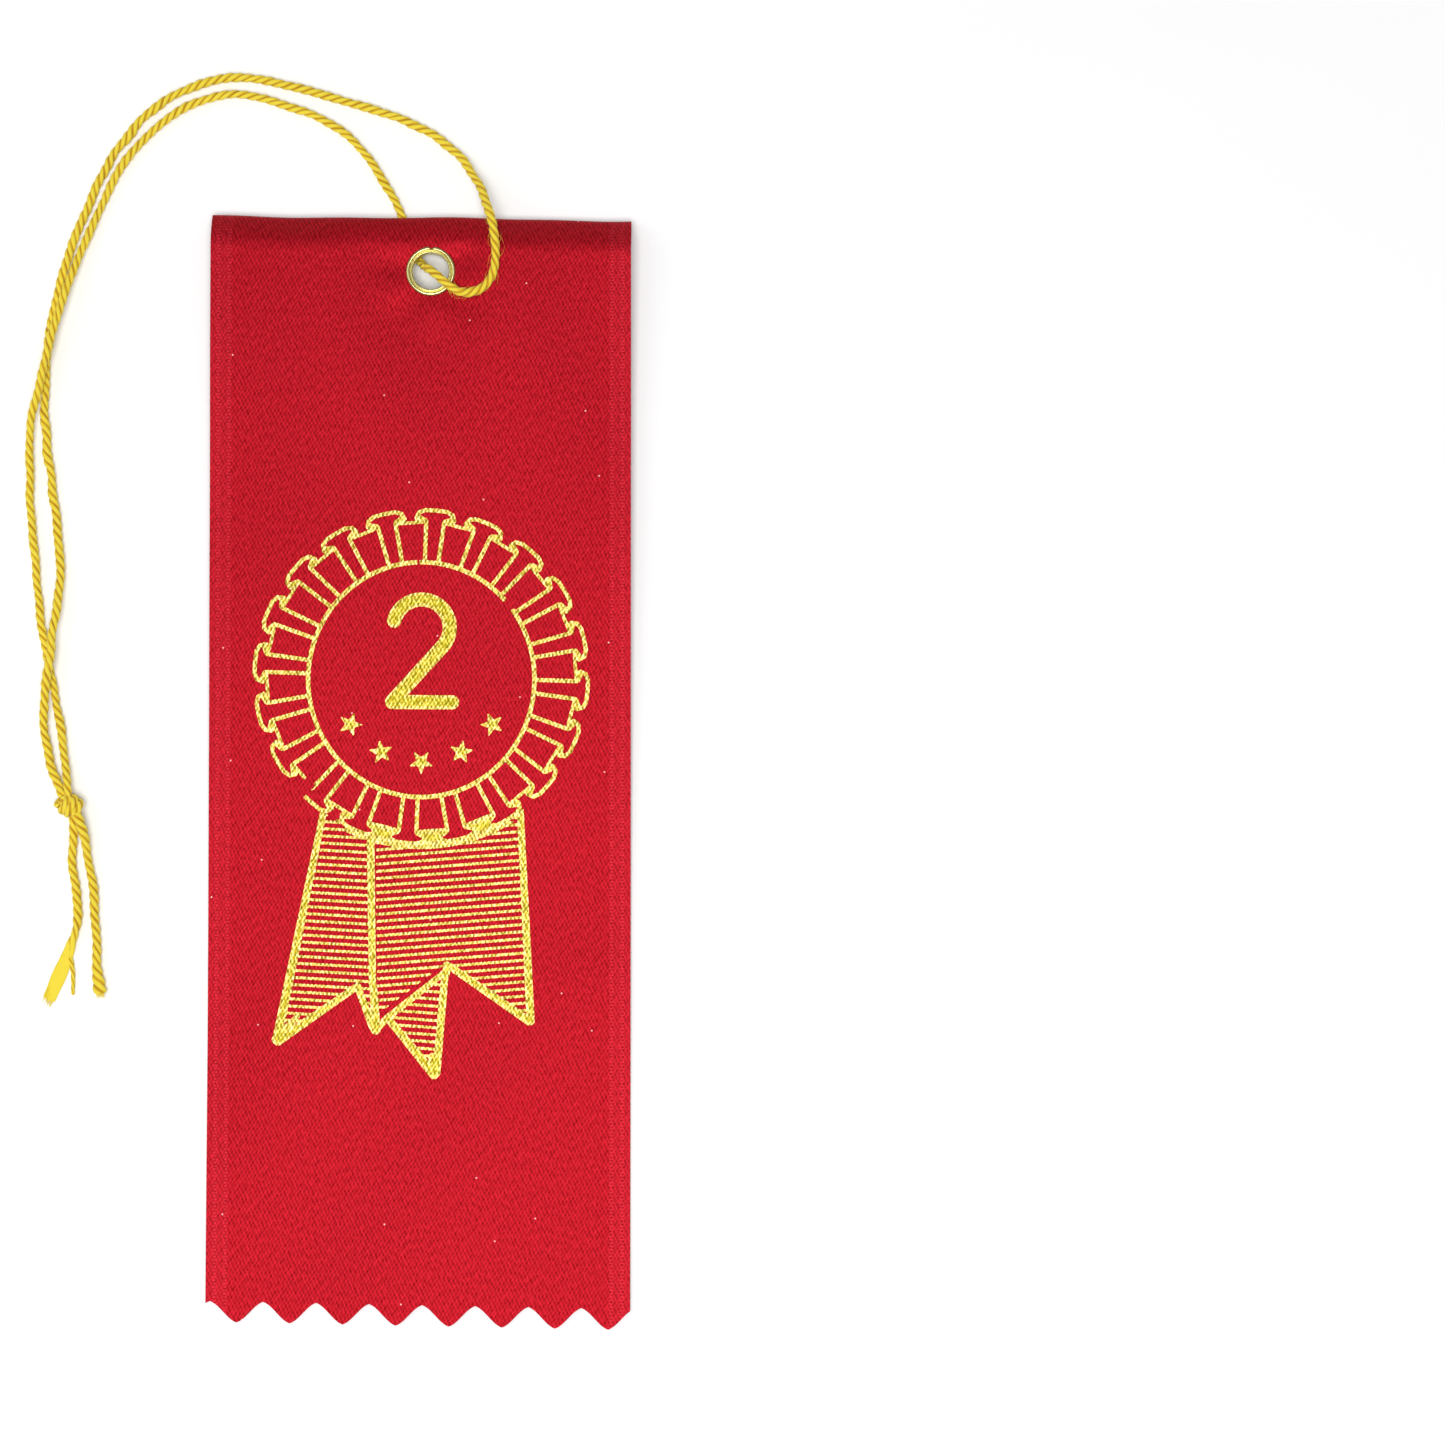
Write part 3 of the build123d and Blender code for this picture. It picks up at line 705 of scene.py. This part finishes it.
def stamped(name, outline, low, high):
    """A thin skin on the panel over all cells whose middle is inside the outline. The points on its edge
    slide along the steepest slope of the outline's distance until that is 0. Its rim is paler."""
    x, y = np.meshgrid(np.arange(low[0], high[0], foil_cell), np.arange(low[1], high[1], foil_cell))
    distance = outline(x, y)
    keep = (distance[:-1, :-1] + distance[:-1, 1:] + distance[1:, :-1] + distance[1:, 1:]) < 0
    padded = np.pad(keep, 1).astype(int)
    shared = padded[:-1, :-1] + padded[:-1, 1:] + padded[1:, :-1] + padded[1:, 1:]
    slope_y, slope_x = np.gradient(distance, foil_cell)
    steep = np.maximum(slope_x**2 + slope_y**2, 0.2)
    on_edge = (shared > 0) & (shared < 4)
    slide = np.where(on_edge, np.clip(distance, -slide_most, slide_most) / steep, 0.0)
    x, y = x - slide * slope_x, y - slide * slope_y
    z = panel_height(x, y) + fabric / 2 + foil_lift + foil / 2
    block, sides = shell(np.stack((x, y, z), axis=-1), np.stack((x, y), axis=-1), foil, keep)
    field = distance[:-1, :-1][keep] < -foil_rim
    return make_piece(name, [block], foil_materials, np.resize(field, len(sides)) & (sides < 2))


reach = rim_radius + 0.6
around_stamp = ((stamp_x - reach, stamp_y - reach), (stamp_x + reach, stamp_y + reach))
for name, node, outline, (low, high) in (
    ("foil_stamp_rosette", "foil_rosette", rosette, around_stamp),
    ("foil_stamp_numeral", "foil_numeral", numeral, around_stamp),
    ("foil_stamp_stars", "foil_stars", stars, around_stamp),
    ("foil_stamp_left_streamer", "foil_streamer_left", left_streamer, ((-18.5, -34.5), (-4.4, 0.0))),
    ("foil_stamp_right_streamer", "foil_streamer_right", right_streamer, ((-9.0, -38.5), (15.0, 0.0))),
):
    skin = stamped(name, outline, low, high)
    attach(skin, "panel")
    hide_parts(node)

# --- Yarn: how it is made ------------------------------------------------------------------------
# Hanging string: one length of soft yellow yarn, three plies laid together with an S twist. It passes
# through the eyelet and back over the fold, and its two ends are tied together in one overhand knot.
string_diameter = 1.1
ply_pitch = 3.7              # length of one full turn of a ply
ply_radius = 0.60            # share of the yarn's radius
ply_offset = 0.40            # from the yarn's middle to a ply's, as a share of the yarn's radius
opened_radius = 0.85         # the oval of opened plies, as a share of the yarn's radius
opened_pattern = 0.15        # share of a ply's own pattern that is left where it is opened
yarn_lowest, hair_lowest = 0.005, 0.02
ring_step = 0.14
ring_sides = 24
hair_rings, hair_sides = 6, 3
hair_radius = 0.018
floor = string_diameter / 2 + 0.01


def smooth_line(route):
    """Points of the smooth NURBS spline that has the route's points as its control points, in mm."""
    curve = bpy.data.curves.new("route", "CURVE")
    curve.dimensions = "3D"
    spline = curve.splines.new("NURBS")
    spline.points.add(len(route) - 1)
    controls = np.column_stack((np.array(route) * mm, np.ones(len(route))))
    spline.points.foreach_set("co", controls.ravel())
    spline.order_u = 3
    spline.use_endpoint_u = True
    spline.resolution_u = 24
    holder = bpy.data.objects.new("route", curve)
    traced = bpy.data.meshes.new_from_object(holder)
    points = np.empty(len(traced.vertices) * 3)
    traced.vertices.foreach_get("co", points)
    bpy.data.meshes.remove(traced)
    bpy.data.objects.remove(holder)
    bpy.data.curves.remove(curve)
    return points.reshape(-1, 3) / mm


def drift(along, shortest, longest, seed):
    """Smooth random values, mostly from -1 to 1: eight sine waves of random length and phase, added."""
    chance = np.random.default_rng(seed)
    waves = chance.uniform(shortest, longest, 8)
    phases = chance.uniform(0, 2 * np.pi, 8)
    return np.sin(2 * np.pi * np.asarray(along)[..., None] / waves + phases).sum(axis=-1) / 3


def tube_quads(number):
    """Corners of the quads between rings of numbered points, each ring closed on itself."""
    onward = np.roll(number, -1, axis=1)
    return np.stack((number[:-1], onward[:-1], onward[1:], number[1:]), axis=-1).reshape(-1, 4)


def frame_of(line):
    """Unit vectors along a line, level across it, and square to both."""
    along = unit(np.gradient(line, axis=0))
    across = unit(np.cross((0.0, 0.0, 1.0), along))
    return along, across, np.cross(along, across)


def plied_tube(line, run, width, height, opened=None):
    """A yarn's surface about a line, its ends closed by fans. Seen end on it is the outline of three
    overlapping circles, the plies, and that outline makes a full turn for each pitch. width and height
    are its half sizes. Where the yarn is opened (from 0 to 1) the twist stops, and the outline goes over
    to a plain oval."""
    opened = np.zeros(len(line)) if opened is None else opened
    across, upward = frame_of(line)[1:]
    around = np.linspace(0, 2 * np.pi, ring_sides, endpoint=False)
    third = 2 * np.pi / 3
    from_ply = (around + third / 2) % third - third / 2
    outline = ply_offset * np.cos(from_ply) + np.sqrt(ply_radius**2 - (ply_offset * np.sin(from_ply)) ** 2)
    outline = outline + (opened_radius - outline) * opened[:, None]
    twist = np.cumsum((1 - opened) * np.gradient(run)) * 2 * np.pi / ply_pitch
    angle = around - twist[:, None]
    sideways = (width[:, None] * outline * np.cos(angle))[..., None] * across[:, None]
    upwards = (height[:, None] * outline * np.sin(angle))[..., None] * upward[:, None]
    rings = line[:, None] + sideways + upwards
    rings[..., 2] = np.maximum(rings[..., 2], yarn_lowest)
    points = np.concatenate((rings.reshape(-1, 3), line[:1], line[-1:]))
    number = np.arange(len(line) * ring_sides).reshape(-1, ring_sides)
    quads = tube_quads(number)
    onward = np.roll(number, -1, axis=1)
    first_middle = np.full(ring_sides, number.size)
    start_fan = np.column_stack((first_middle, onward[0], number[0]))
    end_fan = np.column_stack((first_middle + 1, number[-1], onward[-1]))
    fans = np.concatenate((start_fan, end_fan))
    # On the pattern a ply is one unit wide round the yarn, and shrinks to its middle where it is opened.
    sides = np.arange(ring_sides)
    ply = np.round(3 * (sides + 0.5) / ring_sides)
    left, right = 3 * sides / ring_sides - ply, 3 * (sides + 1) / ring_sides - ply
    # Where opened, the pattern keeps only the middle of each ply, its painted highlight, and loses the
    # painted groove shade.
    kept = 1 - (1 - opened_pattern) * opened[:, None]
    corner_across = ply[:, None] + np.stack(
        (left * kept[:-1], right * kept[:-1], right * kept[1:], left * kept[1:]), axis=-1)
    corner_across = corner_across * np.pi * string_diameter / 3
    corner_along = np.stack((run[:-1], run[:-1], run[1:], run[1:]), axis=-1)
    places = np.stack(np.broadcast_arrays(corner_across, corner_along[:, None]), axis=-1)
    fan_places = np.zeros((len(fans), 3, 2)) + (0.3, 0.0)
    return points, (quads, fans), (places, fan_places)


def fibres(root, reach, bend, thickness):
    """Three-sided hairs, each along root + reach t + bend t squared for t from 0 to 1, tapering to a
    third. Each takes its tone from a random place along a ply's top, with the painted highlight there."""
    t = np.linspace(0, 1, hair_rings)[None, :, None]
    path = root[:, None] + reach[:, None] * t + bend[:, None] * t**2
    along = unit(reach[:, None] + 2 * bend[:, None] * t)
    across = unit(np.cross(along, (0.31, 0.52, 0.79)))
    other = np.cross(along, across)
    corner = np.arange(hair_sides) * 2 * np.pi / hair_sides
    spread = across[:, :, None] * np.cos(corner)[:, None] + other[:, :, None] * np.sin(corner)[:, None]
    rings = path[:, :, None] + thickness * (1 - 0.67 * t)[..., None] * spread
    hairs = len(root)
    number = np.arange(hair_rings * hair_sides).reshape(hair_rings, hair_sides)
    first = (np.arange(hairs) * number.size)[:, None, None]
    quads = (tube_quads(number) + first).reshape(-1, 4)
    ends = (np.stack((number[0, ::-1], number[-1])) + first).reshape(-1, 3)
    # Each hair's place on the pattern is on a ply's top, where the painted highlight lies.
    strand = np.random.default_rng(hairs).uniform(0, 3, hairs)[:, None, None] * (0.0, 1.0)
    places = np.zeros((len(quads), 4, 2)) + np.repeat(strand, len(quads) // hairs, axis=0)
    end_places = np.zeros((len(ends), 3, 2)) + np.repeat(strand, 2, axis=0)
    return rings.reshape(-1, 3), (quads, ends), (places, end_places)


def fuzz(line, per_mm, seed, longest=1.0):
    """Loose fibres that stand off a yarn: they leave its surface at random and curl along it."""
    chance = np.random.default_rng(seed)
    hairs = int(per_mm * len(line) * ring_step)
    along, across, upward = frame_of(line)
    ring = chance.integers(0, len(line), hairs)
    angle = chance.uniform(0, 2 * np.pi, hairs)[:, None]
    outward = np.cos(angle) * across[ring] + np.sin(angle) * upward[ring]
    length = (chance.uniform(0.25, 1.0, hairs) ** 2 * longest)[:, None]
    forward = along[ring] * chance.choice((-1.0, 1.0), hairs)[:, None]
    root = line[ring] + outward * string_diameter * 0.38
    curl = forward * chance.uniform(-0.3, 0.9, hairs)[:, None] - outward * 0.35
    hair = fibres(root, (outward * 0.8 + forward * 0.6) * length, curl * length, hair_radius)
    return np.maximum(hair[0], (-1e9, -1e9, hair_lowest)), hair[1], hair[2]


def rounded_ends(run, start, end):
    """1 along a line, and at its ends the shape of a quarter circle of the given lengths, down to 0.25."""
    from_start = np.clip(run / start, 0.0, 1.0)
    from_end = np.clip((run[-1] - run) / end, 0.0, 1.0)
    return np.maximum(0.25, np.sqrt(1 - (1 - from_start) ** 2) * np.sqrt(1 - (1 - from_end) ** 2))


def laid_yarn(route, seed, thickness=1.0):
    """A run of string on its route: its line, length run, and half width, which varies a little."""
    line, run = evenly(smooth_line(route), ring_step)
    settle = ease(run, 0, 4) * ease(run[-1] - run, 0, 4)
    line = line + frame_of(line)[1] * (0.07 * settle * drift(run, 4, 15, seed))[:, None]
    radius = thickness * string_diameter / 2 * (1 + 0.07 * drift(run, 2.5, 14, seed + 1))
    return line, run, radius


# --- Yarn: its material --------------------------------------------------------------------------
# Dyed soft-spun yarn. A painted highlight lies along the plies' tops and painted shade, dull orange, in
# the grooves between them, and fine fibres run along each ply.
fibre_width, fibre_length = 0.1, 1.2
yarn_material, tree, place = start_material("soft_spun_yarn_yellow")
split = add_node(tree, "ShaderNodeSeparateXYZ", {"Vector": place})
# Painted highlight and shade round each ply: a cosine of the place round the yarn, brightest on a ply's top
# and darkest in the grooves.
ply_angle = add_node(
    tree, "ShaderNodeMath", {0: split.outputs["X"], 1: 3 * 2 / string_diameter}, operation="MULTIPLY")
ply_painted_shade = add_node(tree, "ShaderNodeMath", {0: ply_angle.outputs[0]}, operation="COSINE")
# The fibres lean against the ply's twist.
fibres_per_mm = (1 / fibre_width, 1 / fibre_length, 1.0)
fibre_place = add_node(
    tree, "ShaderNodeMapping",
    {"Vector": place, "Rotation": (0, 0, math.radians(14)), "Scale": fibres_per_mm})
fibre = add_node(
    tree, "ShaderNodeTexNoise", {"Vector": fibre_place.outputs[0], "Scale": 1.0, "Detail": 3.0})
patch = add_node(tree, "ShaderNodeTexNoise", {"Vector": place, "Scale": 0.25, "Detail": 1.0})
tone = 0.43
for part, depth in (
    (ply_painted_shade.outputs[0], 0.30), (fibre.outputs["Fac"], 0.75), (patch.outputs["Fac"], 0.35)
):
    tone = add_node(
        tree, "ShaderNodeMath", {0: part, 1: depth, 2: tone}, operation="MULTIPLY_ADD").outputs[0]
# The ramp colours the dyed fibres and patches together with the painted ply highlight and shade.
dye = add_node(
    tree, "ShaderNodeValToRGB", {"Fac": tone}, stops=((0.45, "8f5e08"), (0.72, "c8980f"), (1.0, "ecd53a")))
relief = add_node(
    tree, "ShaderNodeBump", {"Height": fibre.outputs["Fac"], "Distance": 0.06 * mm, "Strength": 0.8})
finish_material(tree, {
    "Base Color": dye.outputs["Color"], "Normal": relief.outputs["Normal"], "Roughness": 0.75,
    "Specular IOR Level": 0.25, "Sheen Weight": 0.15,
})

# --- Yarn: the two runs from the eyelet to the knot ------------------------------------------------
# One run leaves the eyelet over its front, goes round to the head of the ribbon and down its left
# side; the other leaves under the back, and the two cross twice on the table on their way to the knot.
hand_over = (0.6, 60.7, 2.6)
back_thickness = 0.93        # the back run is this share as thick
front_route = [
    hand_over, (1.5, 60.0, 3.7), (3.3, 58.4, 3.85), (5.3, 57.3, 3.5), (7.5, 57.8, 3.45),
    (8.8, 59.7, 3.5), (9.2, 62.2, 3.8), (9.0, 64.6, 4.3), (8.4, 67.0, 4.2), (7.2, 70.4, 2.4),
    (4.8, 74.6, 0.7), (0.4, 78.1, floor), (-6.9, 80.8, floor), (-14.6, 82.9, floor),
    (-22.0, 84.8, floor), (-28.4, 83.4, floor), (-33.4, 80.3, floor), (-37.4, 75.6, floor),
    (-40.4, 69.4, floor), (-42.6, 64.0, floor), (-44.3, 58.0, floor), (-45.4, 52.4, floor),
    (-45.7, 47.0, floor), (-45.7, 41.4, floor), (-44.9, 35.4, floor), (-43.9, 29.0, floor),
    (-43.5, 22.4, 0.8), (-44.2, 16.9, 1.7), (-44.9, 11.2, 1.85), (-45.5, 6.0, 1.0),
    (-44.8, 1.0, floor), (-42.9, -3.4, 1.1),
]
back_route = [
    hand_over, (-0.1, 61.2, floor), (-1.2, 64.3, floor), (-2.7, 67.6, floor),
    (-4.7, 71.8, floor), (-8.0, 76.4, floor), (-12.6, 79.6, floor), (-18.2, 81.5, floor),
    (-23.6, 82.7, floor), (-29.0, 80.9, floor), (-33.6, 77.5, floor), (-37.0, 73.1, floor),
    (-39.6, 67.6, floor), (-41.6, 62.4, 1.0), (-43.4, 57.4, 1.8), (-44.9, 51.9, 1.9),
    (-46.3, 46.2, 1.9), (-47.5, 40.8, 1.0), (-47.5, 34.4, floor), (-46.9, 27.6, floor),
    (-46.4, 21.8, floor), (-45.7, 16.6, floor), (-44.4, 10.4, floor), (-43.3, 4.6, floor),
    (-42.6, 0.2, 0.9), (-42.2, -3.3, 1.6),
]
runs = {}
for name, route, thickness, seed in (
    ("string_front_run", front_route, 1.0, 11),
    ("string_back_run", back_route, back_thickness, 21),
):
    line, run, radius = laid_yarn(route, seed, thickness)
    radius = radius * rounded_ends(run, 0.3, 0.4)
    blocks = [plied_tube(line, run, radius, radius), fuzz(line, 2.2, seed + 2)]
    # The front run is frayed where it rubs on the eyelet and the fold.
    near_eyelet = np.flatnonzero((run > 4) & (run < 19))
    if name == "string_front_run":
        blocks.append(fuzz(line[near_eyelet], 8.0, seed + 3, 1.5))
    runs[name] = (make_piece(name, blocks, [yarn_material]), line, run[-1])

# --- Yarn: the knot and the two cut tails ----------------------------------------------------------
# Overhand knot of the doubled yarn, pulled tight: its turns wrap slantwise round the two strands. The
# left tail has come untwisted and lies flat and torn; the right one only flares where it was cut.
knot_centre = np.array((-42.1, -4.3, 1.3))
knot_turns = 3.3
knot_yarn = 0.52
knot_slant = 0.52            # the knot's own axis falls this much for each mm to the right
share = np.linspace(0, 1, 150)
wrap = 2 * np.pi * knot_turns * share + 2.2
bulge = 0.55 + 0.45 * np.sin(np.pi * np.clip(share * 1.16 - 0.08, 0, 1)) ** 0.6
knot_along = unit(np.array((1.0, -knot_slant, 0.0)))
knot_across = unit(np.array((knot_slant, 1.0, 0.0)))
shift = (share - 0.5) * 2.5 + 0.28 * np.sin(wrap + 0.4)
knot_line = (
    knot_centre
    + shift[:, None] * knot_along
    + (1.02 * bulge * np.cos(wrap))[:, None] * knot_across
    + (0.70 * bulge * np.sin(wrap))[:, None] * (0.0, 0.0, 1.0)
)
knot_line, knot_run = evenly(knot_line, ring_step)
knot_radius = knot_yarn * rounded_ends(knot_run, 0.5, 0.5)
core_route = np.array(((-43.0, -3.2, 1.2), (-42.2, -4.3, 1.3), (-41.4, -5.4, 1.25)))
core_line, core_run = evenly(core_route, ring_step)
core_radius = 0.75 * rounded_ends(core_run, 0.4, 0.4)
knot = make_piece("string_overhand_knot", [
    plied_tube(knot_line, knot_run, knot_radius, knot_radius),
    plied_tube(core_line, core_run, core_radius, core_radius),
    fuzz(knot_line, 3.0, 31, 0.6),
], [yarn_material])

left_route = [
    (-41.7, -5.3, 0.9), (-41.6, -8.2, floor), (-42.0, -11.4, floor), (-41.2, -14.6, floor),
    (-41.0, -18.0, floor), (-42.0, -21.4, floor), (-43.2, -24.6, floor), (-44.6, -27.7, floor),
]
line, run, radius = laid_yarn(left_route, 41)
opened = ease(run, 13.5, 19)
wide = radius * (1 - 0.25 * ease(run, 12.5, 14.5) + 1.15 * opened - 0.35 * ease(run, 19, 23))
high = radius * (1 - 0.72 * opened)
line[:, 2] -= (floor - 0.02) * opened * 0.72
end = rounded_ends(run, 0.4, 0.12)
frayed_radius = 0.05         # of the bundles of fibres at a cut end
torn = np.random.default_rng(43)
torn_count, torn_ring = 70, -18
torn_share = torn.uniform(-1, 1, torn_count)[:, None]
torn_root = line[torn_ring] + torn_share * 0.72 * frame_of(line)[1][torn_ring] + (0, 0, 0.05)
torn_reach = unit(line[-1] - line[torn_ring]) * torn.uniform(1.5, 3.1, (torn_count, 1))
torn_bend = torn.normal(0, 0.16, (torn_count, 3)) * (1.0, 1.0, 0.3) - torn_share * 0.2
# One strand has come away from the tail's right side.
wisp_route = [(-42.1, -22.2, 0.3), (-41.75, -23.6, 0.3), (-41.6, -25.2, 0.3), (-41.65, -27.1, 0.3)]
wisp_line, wisp_run = evenly(smooth_line(wisp_route), ring_step)
wisp_radius = (0.32 - 0.02 * wisp_run) * rounded_ends(wisp_run, 0.6, 0.2)
left_tail = make_piece("string_left_tail", [
    plied_tube(line, run, wide * end, high * end, opened),
    plied_tube(wisp_line, wisp_run, wisp_radius, wisp_radius * 0.6),
    fibres(torn_root, torn_reach, torn_bend, frayed_radius),
    fuzz(line, 2.5, 44),
], [yarn_material])

right_route = [
    (-41.2, -5.0, 1.7), (-40.3, -7.8, 1.3), (-39.8, -11.0, 0.6), (-39.2, -14.4, floor),
    (-39.1, -18.2, floor), (-38.7, -22.0, floor), (-38.6, -25.0, 0.6), (-38.3, -27.0, 0.6),
]
line, run, radius = laid_yarn(right_route, 51)
flare = 1 + 0.5 * ease(run, run[-1] - 3.5, run[-1] - 0.6)
end = rounded_ends(run, 0.4, 0.3)
cut = np.random.default_rng(53)
cut_count, cut_ring = 60, -6
cut_root = line[cut_ring] + cut.uniform(-0.45, 0.45, (cut_count, 3)) * (1.0, 0.3, 0.7)
cut_reach = unit(line[-1] - line[-9]) * cut.uniform(0.6, 1.15, (cut_count, 1))
right_tail = make_piece("string_right_tail", [
    plied_tube(line, run, radius * flare * end, radius * end),
    fibres(cut_root, cut_reach, cut.normal(0, 0.08, (cut_count, 3)), frayed_radius),
    fuzz(line, 2.5, 54),
], [yarn_material])

for piece, node in (
    (knot, "string_knot"), (left_tail, "string_tail_left"), (right_tail, "string_tail_right")
):
    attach(piece, "head")
    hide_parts(node)
for name, node, thickness, others in (
    ("string_front_run", "string_front", 1.0, [knot, left_tail, right_tail]),
    ("string_back_run", "string_back", back_thickness, [knot]),
):
    piece, line, length = runs[name]
    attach(piece, "head")
    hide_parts(node)

# --- Floor and light -------------------------------------------------------------------------------
# A white laminate table top, a wide soft light above the foot of the ribbon, a weaker one at its left,
# and pale light from all round.
table_size = 3000.0
table_drop = 0.02            # keeps the table's top clear of the cloth that lies on it
mottle_size = 75.0
corners = np.array(((-1, -1, 0), (1, -1, 0), (1, 1, 0), (-1, 1, 0))) * table_size / 2
table_material, tree, place = start_material("matt_white_laminate")
mottle = add_node(tree, "ShaderNodeTexNoise", {"Vector": place, "Scale": 1 / mottle_size, "Detail": 2.0})
mottle_colour = add_node(
    tree, "ShaderNodeMix", {0: mottle.outputs["Fac"], 6: linear("f6f6f6"), 7: linear("fbfbfb")},
    data_type="RGBA")
finish_material(tree, {"Base Color": mottle_colour.outputs[2], "Roughness": 0.9, "Specular IOR Level": 0.1})
table_top = (corners - (0, 0, table_drop), (np.array([[0, 1, 2, 3]]),), (corners[None, :, :2],))
table = make_piece("table", [table_top], [table_material])
table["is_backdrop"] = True

for name, spot, size, power in (
    ("soft_light_above", (0.0, -0.18, 0.87), 0.55, 6.9),
    ("soft_light_left", (-0.7, 0.1, 0.6), 0.6, 1.2),
):
    lamp = bpy.data.objects.new(name, bpy.data.lights.new(name, "AREA"))
    lamp.data.size = size
    lamp.data.energy = power
    lamp.location = spot
    aim = -np.array(spot) + (0.02, 0.0, 0.0)
    lamp.rotation_euler = (math.atan2(np.hypot(aim[0], aim[1]), -aim[2]), 0.0, math.atan2(-aim[0], aim[1]))
    bpy.context.scene.collection.objects.link(lamp)

world = bpy.data.worlds.new("pale_room")
world.use_nodes = True
world.node_tree.nodes["Background"].inputs["Color"].default_value = (1.0, 1.0, 1.0, 1.0)
world.node_tree.nodes["Background"].inputs["Strength"].default_value = 0.28
bpy.context.scene.world = world
bpy.context.scene.view_settings.view_transform = "Standard"

low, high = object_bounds()
